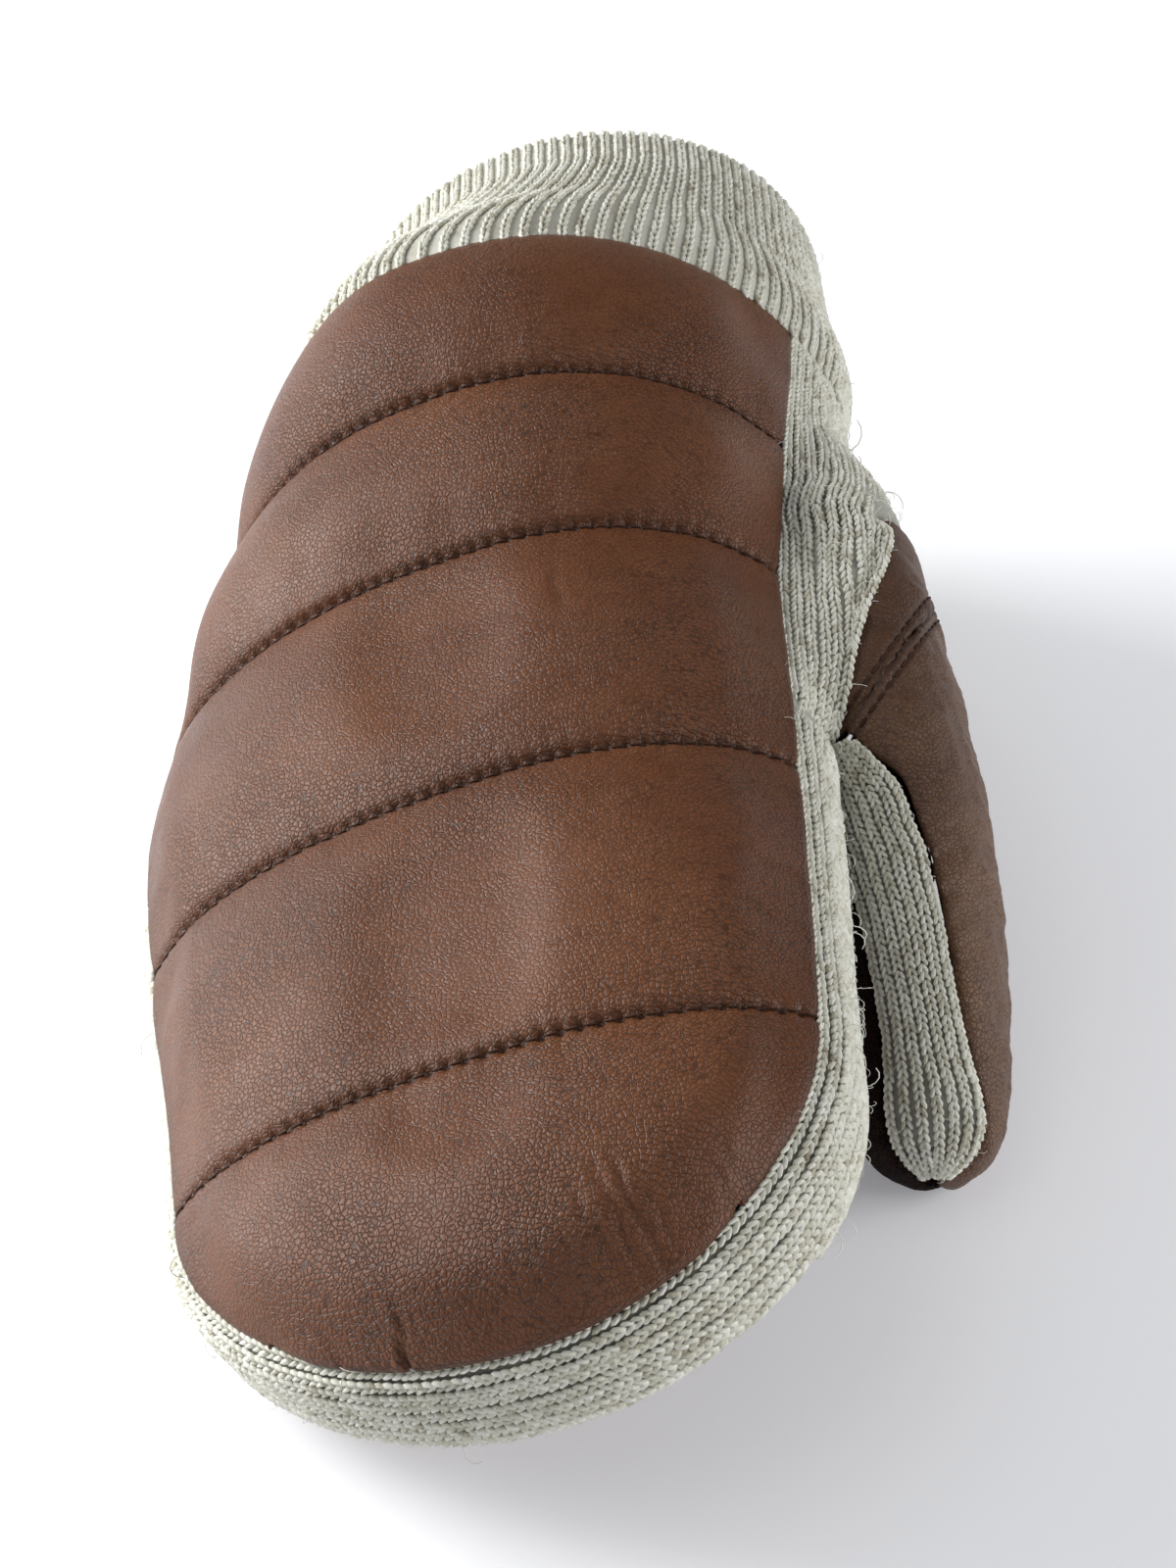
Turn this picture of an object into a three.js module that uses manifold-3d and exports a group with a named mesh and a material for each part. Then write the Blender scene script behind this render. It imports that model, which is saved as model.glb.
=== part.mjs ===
// Padded leather mitten with knit sides and a knit cuff, right hand, lying palm down.
// Millimetres, +Z up, fingertips towards -Y, thumb towards +X.
// The shape is worked out in the mitten's own frame (palm flat at z = 0), then the
// mitten is rolled and pitched to the way it rests, on its outer side and its thumb.
import * as THREE from "three";
import { mergeVertices } from "three/addons/utils/BufferGeometryUtils.js";
import manifoldModule from "manifold-3d";

const wasm = await manifoldModule();
wasm.setup();

// Overall sizes of the hand part
const cuffSeam = 207; // length of the leather from fingertips to the cuff seam
const tipReach = 40.3; // length over which the fingertip end rounds off
const tipPower = 1.94; // squareness of the fingertip outline
const axisX = 1.4; // the crown of the back sits this far towards the thumb
const bellyHeight = 20.6; // height of the widest line above the palm
const crownPower = 2.26; // fullness of the back across the hand
const crownRise = 1.64; // steepness of the back near its edge
const palmPower = 4; // flatness of the palm across the hand
const palmRise = 2.2; // roundness of the palm's edge
const seamBow = 3.3; // every cross seam bows this far back towards the sides
const bowReach = 50; // distance from the fingertips over which the bow comes in

// Half widths and height of the back at distances from the fingertips
const handTable = [
  { y: 0, left: 50.5, right: 46.3, top: 37 },
  { y: 55, left: 54, right: 46.8, top: 39.5 },
  { y: 95, left: 61.2, right: 48.4, top: 44.5 },
  { y: 140, left: 63, right: 49.5, top: 52.2 },
  { y: 185, left: 48.8, right: 56, top: 67.2 },
  { y: 215, left: 36.2, right: 60.6, top: 75.1 },
];

// Quilting of the back: cross seams, measured from the fingertips
const quiltSeams = [tipReach, 94.3, 143.1, 175.2, cuffSeam];
const puffHeight = 5.2; // padding between two seams
const puffEdge = 0.3; // share of it left at the side edge
const puffPower = 0.7; // fullness of a channel

// Walls and gaps
const backWall = 2.4;
const sideWall = 2.8;
const cuffWall = 3.4;
const thumbWall = 2.4;
const seamGap = 0.5;

// Where one piece ends round the section: degrees above (+) or below (-) the belly line
const edgeOnSides = 21.2;
const edgeOnTip = 15;
const palmEdge = -35;
const seamTurn = 1.75; // turn that leaves the gap between two pieces
// The knit's lower edge over the thumb root, degrees above the belly line
const rootTable = [
  { y: 98, edge: -26 },
  { y: 112, edge: -12 },
  { y: 126, edge: 4 },
  { y: 150, edge: 7 },
  { y: 158, edge: 6 },
];
const rootFade = 16; // over this length it comes back to the palm's edge

// Cuff
const cuffLength = 28.5;
const cuffBlend = 20; // length over which the hand's section turns into the cuff's
const cuffX = 20;
const cuffHalfWidth = 43.5;
const cuffTop = 72;
const cuffBottom = -1;
const cuffBulge = 1.6; // the knit stands this far over the leather's end
const cuffRings = 6;
const cuffSides = 40;

// Thumb: middle line, dz from the belly line, half width (a) and half height (b) of the section
const thumbTable = [
  { s: 0, x: 47, y: 192, dz: 0.4, a: 10, b: 9 },
  { s: 0.2, x: 51.5, y: 168, dz: -3.6, a: 14.5, b: 13 },
  { s: 0.4, x: 54, y: 142, dz: -10.6, a: 14, b: 15 },
  { s: 0.6, x: 54.2, y: 118, dz: -21.6, a: 13.5, b: 16 },
  { s: 0.8, x: 52, y: 96, dz: -32.1, a: 13, b: 15.5 },
  { s: 1, x: 47.8, y: 76, dz: -41.6, a: 12.5, b: 14.5 },
];
const thumbCap = 15; // length of the rounded end past the middle line
const thumbRings = 15;
const thumbSides = 30;
// The set-in seam round the thumb root, as a plane
const setInPoint = new THREE.Vector3(56, 118, bellyHeight - 0.6);
const setInNormal = new THREE.Vector3(0.62, -0.42, -0.66).normalize();
// The thumb's knit strip, degrees round the thumb (0 outwards, 90 up)
const stripRoot = { outer: 80, inner: 142 };
const stripTip = { outer: 39, inner: 92 };
const stripPoint = 118; // where its pointed start lies
const stripPointLength = 20;
const stripTipTurn = 26; // each edge opens by this much at the thumb's end
const underSeam = 278; // where the two leather halves meet below
const thumbGap = 0.4; // gap between the thumb's pieces
const thumbEnd = 0.05; // the pieces stop this far before the very end
const thumbClear = 0.6; // gap between thumb and hand

// Rest: roll with the thumb side up, pitch with the cuff end down
const restRoll = 21.7;
const restPitch = 2.4;
const restSink = 2.2; // depth that the padding flattens where it rests

// Mesh steps
const channelSteps = [6, 5, 4, 4]; // from the fingertips' seam to the cuff
const tipSteps = 12;
const backSteps = 8;
const palmSteps = 5;
const bandSteps = 4;

const rad = THREE.MathUtils.degToRad;
const leatherBrown = 0x744c37;
const leatherThumb = 0x6e4b38;
const leatherPalm = 0x6a4532;
const wool = 0xb9b7a4;
const woolShade = 0xa9a692;
const innerDark = 0x2c2a30;

// Smooth curve through one column of a table
function along(table, key, at, column) {
  const last = table.length - 1;
  let i = 0;
  while (i < last - 1 && at > table[i + 1][key]) i += 1;
  const slope = (k) => {
    const lo = table[Math.max(k - 1, 0)];
    const hi = table[Math.min(k + 1, last)];
    return (hi[column] - lo[column]) / (hi[key] - lo[key]);
  };
  const a = table[i];
  const b = table[i + 1];
  const h = b[key] - a[key];
  const t = (at - a[key]) / h;
  if (t <= 0) return a[column] + slope(i) * (at - a[key]) * (i === 0 ? 0.3 : 1);
  if (t >= 1) return b[column] + slope(i + 1) * (at - b[key]);
  const t2 = t * t;
  const t3 = t2 * t;
  return (2 * t3 - 3 * t2 + 1) * a[column] + (t3 - 2 * t2 + t) * h * slope(i)
    + (3 * t2 - 2 * t3) * b[column] + (t3 - t2) * h * slope(i + 1);
}

function ease(from, to, value) {
  return THREE.MathUtils.smoothstep(value, from, to);
}

// Stations run from the cuff down the thumb side, round the fingertips and back up
const sideYs = [];
channelSteps.forEach((steps, k) => {
  for (let i = 1; i <= steps; i += 1) {
    sideYs.push(THREE.MathUtils.lerp(quiltSeams[k], quiltSeams[k + 1], i / steps));
  }
});
const stations = sideYs.toReversed().map((y) => ({ side: 1, y }));
for (let i = 0; i <= tipSteps; i += 1) {
  stations.push({ side: 0, turn: rad(90 - (180 * i) / tipSteps) });
}
stations.push(...sideYs.map((y) => ({ side: -1, y })));

// A point of the hand's skin. angle: 90 crown, 0 belly line, -90 middle of the palm.
// inset moves the skin inwards (outwards when negative).
function handPoint(station, angle, inset, stretch = 0) {
  const upper = angle >= 0;
  const c = Math.abs(angle) === 90 ? 0 : Math.abs(Math.cos(rad(angle)));
  const s = Math.abs(Math.sin(rad(angle)));
  const share = Math.pow(c, 2 / (upper ? crownPower : palmPower));
  let y = station.y;
  let across = station.side * share;
  if (station.side === 0) {
    const co = Math.abs(Math.cos(station.turn));
    const si = Math.sin(station.turn);
    const k = Math.pow(Math.pow(Math.abs(si), tipPower) + Math.pow(co, tipPower), -1 / tipPower);
    y = tipReach - (tipReach - inset) * co * k * share;
    across = si * k * share;
  } else if (stretch > 0 && station.y > cuffSeam - 0.01) {
    y += stretch;
  }
  const column = across >= 0 ? "right" : "left";
  const sign = across >= 0 ? -1 : 1;
  const half = along(handTable, "y", y, column) + sign * axisX - inset;
  const top = along(handTable, "y", y, "top") - inset;
  const x = axisX + half * across;
  let z = bellyHeight;
  if (upper) z += (top - bellyHeight) * Math.pow(s, 2 / crownRise);
  else z -= (bellyHeight - inset) * Math.pow(s, 2 / palmRise);
  const bow = seamBow * share * share * ease(0, bowReach, y);
  return { x, y: y + bow, z, flat: y, share };
}

// Padding height of the back above its seams
function puff(flat, share, edgeShare) {
  let lo = 0;
  for (const seam of quiltSeams) {
    if (flat <= seam) {
      let t = (flat - lo) / (seam - lo);
      if (lo === 0) t = 0.5 + 0.5 * t;
      const rise = Math.pow(Math.max(Math.sin(Math.PI * t), 0), puffPower);
      const fade = THREE.MathUtils.lerp(1, puffEdge, ease(edgeShare - 0.2, edgeShare, share));
      return puffHeight * rise * fade;
    }
    lo = seam;
  }
  return 0;
}

// From the mitten's own frame to the way it rests
const turned = new THREE.Matrix4()
  .makeRotationX(-rad(restPitch))
  .multiply(new THREE.Matrix4().makeRotationY(-rad(restRoll)));
const probe = new THREE.Vector3();
function rest(p) {
  probe.set(p.x, p.y, p.z).applyMatrix4(turned);
  return [probe.x, probe.y, probe.z];
}
let lowest = Infinity;
for (const station of stations) {
  for (let angle = -80; angle <= 0; angle += 5) {
    lowest = Math.min(lowest, rest(handPoint(station, angle, 0))[2]);
  }
}
const floorLevel = lowest + restSink;
const snap = (value) => Math.round(value * 1e5) / 1e5; // so that shared points come out equal
function placed(p, wall) {
  const q = rest(p);
  return [snap(q[0]), snap(q[1]), snap(Math.max(q[2] - floorLevel, wall))];
}

// Closed shell between two layers of a grid of points
function slab(point, countU, countV, walls) {
  const xyz = [];
  for (let layer = 0; layer < 2; layer += 1) {
    for (let i = 0; i <= countU; i += 1) {
      for (let j = 0; j <= countV; j += 1) xyz.push(...point(i / countU, j / countV, layer));
    }
  }
  const at = (layer, i, j) => (layer * (countU + 1) + i) * (countV + 1) + j;
  const faces = [];
  const quad = (a, b, c, d) => faces.push(a, b, c, a, c, d);
  for (let i = 0; i < countU; i += 1) {
    for (let j = 0; j < countV; j += 1) {
      quad(at(0, i, j), at(0, i + 1, j), at(0, i + 1, j + 1), at(0, i, j + 1));
      quad(at(1, i, j), at(1, i, j + 1), at(1, i + 1, j + 1), at(1, i + 1, j));
    }
  }
  for (let i = 0; i < countU; i += 1) {
    if (walls.startV) quad(at(0, i, 0), at(1, i, 0), at(1, i + 1, 0), at(0, i + 1, 0));
    if (walls.endV) {
      quad(at(0, i, countV), at(0, i + 1, countV), at(1, i + 1, countV), at(1, i, countV));
    }
  }
  for (let j = 0; j < countV; j += 1) {
    if (walls.startU) quad(at(0, 0, j), at(0, 0, j + 1), at(1, 0, j + 1), at(1, 0, j));
    if (walls.endU) {
      quad(at(0, countU, j), at(1, countU, j), at(1, countU, j + 1), at(0, countU, j + 1));
    }
  }
  return closed(xyz, faces);
}

// Merge equal points, drop flat faces, make the surface face outwards
function closed(xyz, faces) {
  const raw = new THREE.BufferGeometry();
  raw.setAttribute("position", new THREE.Float32BufferAttribute(xyz, 3));
  raw.setIndex(faces);
  const merged = mergeVertices(raw, 1e-3);
  const p = merged.attributes.position.array;
  const index = merged.index.array;
  const kept = [];
  let volume = 0;
  for (let i = 0; i < index.length; i += 3) {
    const [a, b, c] = [index[i], index[i + 1], index[i + 2]];
    if (a === b || b === c || a === c) continue;
    kept.push(a, b, c);
    const [x, y, z] = [3 * a, 3 * b, 3 * c];
    volume += p[x] * (p[y + 1] * p[z + 2] - p[y + 2] * p[z + 1])
      - p[x + 1] * (p[y] * p[z + 2] - p[y + 2] * p[z])
      + p[x + 2] * (p[y] * p[z + 1] - p[y + 1] * p[z]);
  }
  if (volume < 0) kept.reverse();
  return new wasm.Manifold(new wasm.Mesh({
    numProp: 3,
    vertProperties: Float32Array.from(p),
    triVerts: Uint32Array.from(kept),
  }));
}

function fromGeometry(geometry) {
  const bare = new THREE.BufferGeometry();
  bare.setAttribute("position", geometry.attributes.position);
  bare.setIndex(geometry.index);
  const merged = mergeVertices(bare, 1e-4);
  return closed(Array.from(merged.attributes.position.array), Array.from(merged.index.array));
}

// Solid bounded by one layer of the hand's skin, with a fan over its open end
function handSolid(inset, stretch, wall) {
  const countV = backSteps + bandSteps + palmSteps;
  const n = stations.length - 1;
  const xyz = [];
  for (let i = 0; i <= n; i += 1) {
    for (let j = 0; j <= countV; j += 1) {
      const p = handPoint(stations[i], gridAngle(stations[i], j), inset, stretch);
      xyz.push(...placed(p, wall));
    }
  }
  const hub = xyz.length / 3;
  const middle = { x: axisX, y: cuffSeam + stretch, z: bellyHeight + 12 };
  xyz.push(...placed(middle, wall));
  const at = (i, j) => i * (countV + 1) + j;
  const faces = [];
  for (let i = 0; i < n; i += 1) {
    for (let j = 0; j < countV; j += 1) {
      faces.push(at(i, j), at(i + 1, j), at(i + 1, j + 1), at(i, j), at(i + 1, j + 1), at(i, j + 1));
    }
  }
  for (let j = 0; j < countV; j += 1) {
    faces.push(at(0, j), at(0, j + 1), hub);
    faces.push(at(n, j + 1), at(n, j), hub);
  }
  return closed(xyz, faces);
}

// Angles of the grid round the section, from crown to middle of the palm
function edgeAngle(station) {
  if (station.side !== 0) return edgeOnSides;
  const side = Math.pow(Math.sin(station.turn), 2);
  return THREE.MathUtils.lerp(edgeOnTip, edgeOnSides, side);
}
function lowerAngle(station) {
  if (station.side !== 1) return palmEdge;
  const from = rootTable[0].y;
  const to = rootTable[rootTable.length - 1].y;
  const up = ease(from - rootFade, from, station.y);
  const down = 1 - ease(to, to + rootFade, station.y);
  const y = THREE.MathUtils.clamp(station.y, from, to);
  return THREE.MathUtils.lerp(palmEdge, along(rootTable, "y", y, "edge"), up * down);
}
function gridAngle(station, j) {
  if (j <= backSteps) return THREE.MathUtils.lerp(90, edgeAngle(station), j / backSteps);
  const k = j - backSteps;
  const low = palmEdge - seamTurn / 2;
  if (k <= bandSteps) return THREE.MathUtils.lerp(edgeAngle(station), low, k / bandSteps);
  return THREE.MathUtils.lerp(low, -90, (k - bandSteps) / palmSteps);
}
function edgeShareOf(station) {
  return Math.pow(Math.cos(rad(edgeAngle(station))), 2 / crownPower);
}

const stationAt = (u) => stations[Math.round(u * (stations.length - 1))];
const stationCount = stations.length - 1;

function backLeather() {
  return slab((u, v, layer) => {
    const station = stationAt(u);
    const angle = THREE.MathUtils.lerp(90, edgeAngle(station), v);
    const base = handPoint(station, angle, 0);
    const inset = layer === 0 ? -puff(base.flat, base.share, edgeShareOf(station)) : backWall;
    return placed(handPoint(station, angle, inset), layer * backWall);
  }, stationCount, backSteps, { endV: true, startU: true, endU: true });
}

// Thick sector of the hand's skin, used to cut one piece out of the shell
function sector(fromAngle, toAngle, steps, walls) {
  return slab((u, v, layer) => {
    const station = stationAt(u);
    const angle = THREE.MathUtils.lerp(fromAngle(station), toAngle(station), v);
    const reach = layer === 0 ? -34 : sideWall + 3;
    return placed(handPoint(station, angle, reach, 6), -90);
  }, stationCount, steps, walls);
}

// Thumb tube: s runs along the middle line in mm, turn round it in degrees
const thumbPath = new THREE.CatmullRomCurve3(
  thumbTable.map((row) => new THREE.Vector3(row.x, row.y, bellyHeight + row.dz)),
);
const thumbLength = thumbPath.getLength();
function thumbPoint(s, turn, inset) {
  const along01 = Math.min(s / thumbLength, 1);
  const middle = thumbPath.getPointAt(along01);
  const ahead = thumbPath.getTangentAt(along01);
  const outwards = new THREE.Vector3(1, 0, 0);
  outwards.addScaledVector(ahead, -outwards.dot(ahead)).normalize();
  const upwards = new THREE.Vector3().crossVectors(outwards, ahead);
  if (upwards.z < 0) upwards.negate();
  const past = Math.max(s - thumbLength, 0);
  const cap = thumbCap - inset;
  const shrink = Math.pow(Math.max(1 - Math.pow(Math.min(past / thumbCap, 1), 2.2), 0), 1 / 2.2);
  const a = (along(thumbTable, "s", along01, "a") - inset) * shrink;
  const b = (along(thumbTable, "s", along01, "b") - inset) * shrink;
  const p = middle.clone()
    .addScaledVector(ahead, Math.min(past / thumbCap, 1) * cap)
    .addScaledVector(outwards, a * Math.cos(rad(turn)))
    .addScaledVector(upwards, b * Math.sin(rad(turn)));
  return { x: p.x, y: p.y, z: p.z };
}
function thumbStep(v) {
  const whole = thumbLength + thumbCap;
  const bodyShare = 0.72;
  if (v <= bodyShare) return (thumbLength * v) / bodyShare;
  return thumbLength + (whole - thumbLength) * Math.sin((Math.PI / 2) * ((v - bodyShare) / (1 - bodyShare)));
}
function thumbSolid(inset, wall) {
  const xyz = [];
  const faces = [];
  for (let i = 0; i <= thumbRings; i += 1) {
    for (let j = 0; j < thumbSides; j += 1) {
      const p = thumbPoint(thumbStep(i / thumbRings), (360 * j) / thumbSides, inset);
      xyz.push(...placed(p, wall));
    }
  }
  const at = (i, j) => i * thumbSides + (j % thumbSides);
  for (let i = 0; i < thumbRings; i += 1) {
    for (let j = 0; j < thumbSides; j += 1) {
      faces.push(at(i, j), at(i + 1, j), at(i + 1, j + 1), at(i, j), at(i + 1, j + 1), at(i, j + 1));
    }
  }
  const hub = xyz.length / 3;
  const start = thumbTable[0];
  xyz.push(...placed({ x: start.x, y: start.y, z: bellyHeight + start.dz }, wall));
  for (let j = 0; j < thumbSides; j += 1) faces.push(at(0, j), at(0, j + 1), hub);
  return closed(xyz, faces);
}

// Edges of the thumb's three pieces, in degrees at a place along the thumb
const stripStart = 0.52 * thumbLength;
function thumbTurn(s) {
  const past = Math.max(s - thumbLength, 0) / thumbCap;
  const shrink = Math.pow(1 - Math.pow(past, 2.2), 1 / 2.2);
  return Math.min(THREE.MathUtils.radToDeg(thumbGap / (thumbTable.at(-1).a * shrink)), 14);
}
function stripEdges(s) {
  const whole = thumbLength + thumbCap;
  const share = THREE.MathUtils.clamp((s - stripStart) / (whole - stripStart), 0, 1);
  const open = ease(whole - 18, whole, s) * stripTipTurn;
  const start = ease(stripStart, stripStart + stripPointLength, s);
  const outer = THREE.MathUtils.lerp(stripRoot.outer, stripTip.outer, share);
  const inner = THREE.MathUtils.lerp(stripRoot.inner, stripTip.inner, share);
  return {
    outer: THREE.MathUtils.lerp(stripPoint - 5, outer, start) - open,
    inner: THREE.MathUtils.lerp(stripPoint + 5, inner, start) + open,
  };
}
function thumbPanel(edges, steps) {
  return slab((u, v, layer) => {
    const s = Math.min(thumbStep(u), thumbLength + thumbCap - thumbEnd);
    const [from, to] = edges(s);
    const p = thumbPoint(s, THREE.MathUtils.lerp(from, to, v), layer * thumbWall);
    return placed(p, layer * thumbWall);
  }, thumbRings, steps, { startU: true, endU: true, startV: true, endV: true });
}

// Large block with one face on the set-in seam; the block lies on the thumb's side of it
function thumbSideBlock(shift) {
  const size = 400;
  const block = new THREE.BoxGeometry(size, size, size);
  block.translate(0, 0, size / 2);
  const facing = new THREE.Quaternion().setFromUnitVectors(new THREE.Vector3(0, 0, 1), setInNormal);
  block.applyQuaternion(facing);
  const from = setInPoint.clone().addScaledVector(setInNormal, shift);
  block.translate(from.x, from.y, from.z);
  block.applyMatrix4(turned);
  block.translate(0, 0, -floorLevel);
  return fromGeometry(block);
}

function cuffKnit() {
  return slab((u, v, layer) => {
    const turn = 360 * u;
    const side = Math.cos(rad(turn)) >= 0 ? 1 : -1;
    const angle = side > 0 ? (turn > 180 ? turn - 360 : turn) : 180 - turn;
    const out = cuffBulge * Math.sin(Math.PI * Math.min(v * 2.6, 1));
    const inset = layer * cuffWall - out;
    const hand = handPoint({ side, y: cuffSeam }, angle, inset);
    const half = (cuffTop - cuffBottom) / 2;
    const ringX = cuffX + (cuffHalfWidth - inset) * Math.cos(rad(turn));
    const ringZ = cuffBottom + half + (half - inset) * Math.sin(rad(turn));
    const reach = seamGap + v * cuffLength;
    const mix = ease(0, cuffBlend, reach);
    return placed({
      x: THREE.MathUtils.lerp(hand.x, ringX, mix),
      y: THREE.MathUtils.lerp(hand.y, cuffSeam + seamBow, mix) + reach,
      z: THREE.MathUtils.lerp(hand.z, ringZ, mix),
    }, layer * cuffWall);
  }, cuffSides, cuffRings, { startV: true, endV: true });
}

// Put the pieces together
const handShell = handSolid(0, 0, 0)
  .add(thumbSolid(0, 0).subtract(thumbSideBlock(-seamGap)))
  .subtract(handSolid(sideWall, 8, sideWall))
  .subtract(thumbSolid(sideWall, sideWall));
const band = sector(
  (station) => edgeAngle(station) - seamTurn,
  (station) => lowerAngle(station),
  bandSteps,
  { startU: true, endU: true, startV: true, endV: true },
);
const palm = sector(
  (station) => lowerAngle(station) - seamTurn,
  () => -90,
  palmSteps,
  { startU: true, endU: true, startV: true },
);
const clearOfHand = handSolid(-thumbClear, 0, -90);
function trimThumb(panel) {
  return panel.intersect(thumbSideBlock(0)).subtract(clearOfHand);
}

const group = new THREE.Group();
group.name = "leather_mitten";
function addPiece(name, solid, color, roughness) {
  const mesh = solid.getMesh();
  const geometry = new THREE.BufferGeometry();
  geometry.setAttribute("position", new THREE.BufferAttribute(mesh.vertProperties, mesh.numProp));
  geometry.setIndex(new THREE.BufferAttribute(mesh.triVerts, 1));
  geometry.computeVertexNormals();
  const material = new THREE.MeshStandardMaterial({ color, roughness, metalness: 0 });
  material.name = name;
  const piece = new THREE.Mesh(geometry, material);
  piece.name = name;
  group.add(piece);
}
addPiece("back_leather", backLeather(), leatherBrown, 0.42);
addPiece("palm_leather", handShell.intersect(palm), leatherPalm, 0.5);
addPiece("side_gusset", handShell.intersect(band), wool, 0.95);
addPiece("cuff_knit", cuffKnit(), wool, 0.95);
addPiece("thumb_leather", trimThumb(thumbPanel((s) => {
  const { outer } = stripEdges(s);
  return [underSeam - 360, outer - thumbTurn(s)];
}, 10)), leatherThumb, 0.45);
addPiece("thumb_knit", trimThumb(thumbPanel((s) => {
  const { outer, inner } = stripEdges(s);
  return [outer, inner];
}, 6)), woolShade, 0.95);
addPiece("thumb_inner", trimThumb(thumbPanel((s) => {
  const { inner } = stripEdges(s);
  return [inner + thumbTurn(s), underSeam - thumbTurn(s)];
}, 9)), innerDark, 0.7);

// Stand the whole on z = 0 with its bounding box centred on the Z axis
const box = new THREE.Box3().setFromObject(group);
const middle = box.getCenter(new THREE.Vector3());
for (const piece of group.children) {
  piece.geometry.translate(-middle.x, -middle.y, -box.min.z);
}

export default group;
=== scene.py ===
import math
import bmesh
import bpy
import numpy as np
from mathutils import Matrix, Vector, noise
from mathutils.bvhtree import BVHTree


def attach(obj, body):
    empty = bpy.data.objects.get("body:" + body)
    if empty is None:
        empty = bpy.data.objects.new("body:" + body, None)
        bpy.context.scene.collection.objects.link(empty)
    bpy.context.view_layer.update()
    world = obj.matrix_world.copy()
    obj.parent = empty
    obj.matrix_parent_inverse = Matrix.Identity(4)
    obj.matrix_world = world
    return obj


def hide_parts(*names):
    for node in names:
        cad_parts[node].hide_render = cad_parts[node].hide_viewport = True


# Padded leather mitten with knit sides and a knit cuff. Shapes are worked out in millimetres
# in the mitten's own frame (palm flat, fingertips at y = 0, thumb towards +x), then placed.
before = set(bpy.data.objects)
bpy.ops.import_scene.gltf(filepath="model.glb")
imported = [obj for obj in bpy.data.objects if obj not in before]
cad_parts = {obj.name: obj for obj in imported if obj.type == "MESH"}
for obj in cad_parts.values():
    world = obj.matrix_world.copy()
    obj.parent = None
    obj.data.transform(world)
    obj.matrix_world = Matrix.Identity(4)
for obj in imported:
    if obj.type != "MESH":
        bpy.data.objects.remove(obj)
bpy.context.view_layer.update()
chance = np.random.default_rng(11)
mm = 0.001

# The way it rests: rolled with the thumb side up, cuff end down a little
restWay = {"roll": 21.7, "pitch": 2.4, "shift": (0.965, -121.508, 18.178)}

cameraLook = {
    "place": (-0.00372, -0.38794, 0.34045),
    "right": (0.99983486, -0.01812651, 0.00129382),
    "up": (0.0101897, 0.61815251, 0.78599214),
    "lens": 73.23,
}


def makeCamera(look):
    right, up = Vector(look["right"]), Vector(look["up"])
    turn = Matrix((right, up, right.cross(up))).transposed().to_4x4()
    camera = bpy.data.objects.new("camera", bpy.data.cameras.new("camera"))
    camera.matrix_world = Matrix.Translation(look["place"]) @ turn
    camera.data.lens = look["lens"]
    bpy.context.scene.collection.objects.link(camera)
    bpy.context.scene.camera = camera


makeCamera(cameraLook)
print("camera ready")


hand = {
    "cuffSeam": 207,  # length of the leather from the fingertips
    "tipReach": 40.3,  # the fingertips round off over this length
    "tipPower": 1.94,
    "axisX": 1.4,
    "belly": 20.6,  # height of the widest line
    "crownPower": 2.26,
    "crownRise": 1.64,
    "palmPower": 4,
    "palmRise": 2.2,
    "seamBow": 3.3,
    "bowReach": 50,
    "places": (0, 55, 95, 140, 185, 215),
    "left": (50.5, 54, 61.2, 62.4, 47.6, 34.0),
    "right": (46.3, 46.8, 48.4, 49.5, 56, 60.6),
    "top": (37, 39.5, 44.5, 52.2, 67.2, 75.1),
    "edgeOnSides": 21.2,  # degrees above the widest line where the leather ends
    "edgeOnTip": 15,
    "palmEdge": -35,
    "seamTurn": 1.75,
}


def lengthAlong(points, axis=0):
    # length from the first point to each point, along one axis of the array
    steps = np.linalg.norm(np.diff(points, axis=axis), axis=-1)
    total = np.cumsum(steps, axis=axis)
    return np.concatenate([np.zeros_like(np.take(total, [0], axis)), total], axis)


def rowsAt(at, length, rows):
    return np.stack([np.interp(at, length, rows[:, c]) for c in range(rows.shape[1])], -1)


def ease(low, high, value):
    t = np.clip((value - low) / (high - low), 0, 1)
    return t * t * (3 - 2 * t)


def mix(a, b, share):
    return a + (b - a) * share


def curve(places, values, at):
    # smooth curve through the values, which may be numbers or whole rows of points
    places, values = np.array(places, float), np.array(values, float)
    at = np.asarray(at, float)
    last = len(places) - 1
    before = np.maximum(np.arange(last + 1) - 1, 0)
    after = np.minimum(np.arange(last + 1) + 1, last)
    widths = (places[after] - places[before]).reshape((-1,) + (1,) * (values.ndim - 1))
    slope = (values[after] - values[before]) / widths
    i = np.clip(np.searchsorted(places, at) - 1, 0, last - 1)
    shape = at.shape + (1,) * (values.ndim - 1)
    h = (places[i + 1] - places[i]).reshape(shape)
    t = np.clip((at - places[i]) / (places[i + 1] - places[i]), 0, 1).reshape(shape)
    inside = (
        (2 * t**3 - 3 * t**2 + 1) * values[i] + (t**3 - 2 * t**2 + t) * h * slope[i]
        + (3 * t**2 - 2 * t**3) * values[i + 1] + (t**3 - t**2) * h * slope[i + 1]
    )
    below = np.minimum(at - places[0], 0).reshape(shape) * slope[0] * 0.3
    above = np.maximum(at - places[-1], 0).reshape(shape) * slope[last]
    return inside + below + above


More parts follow.
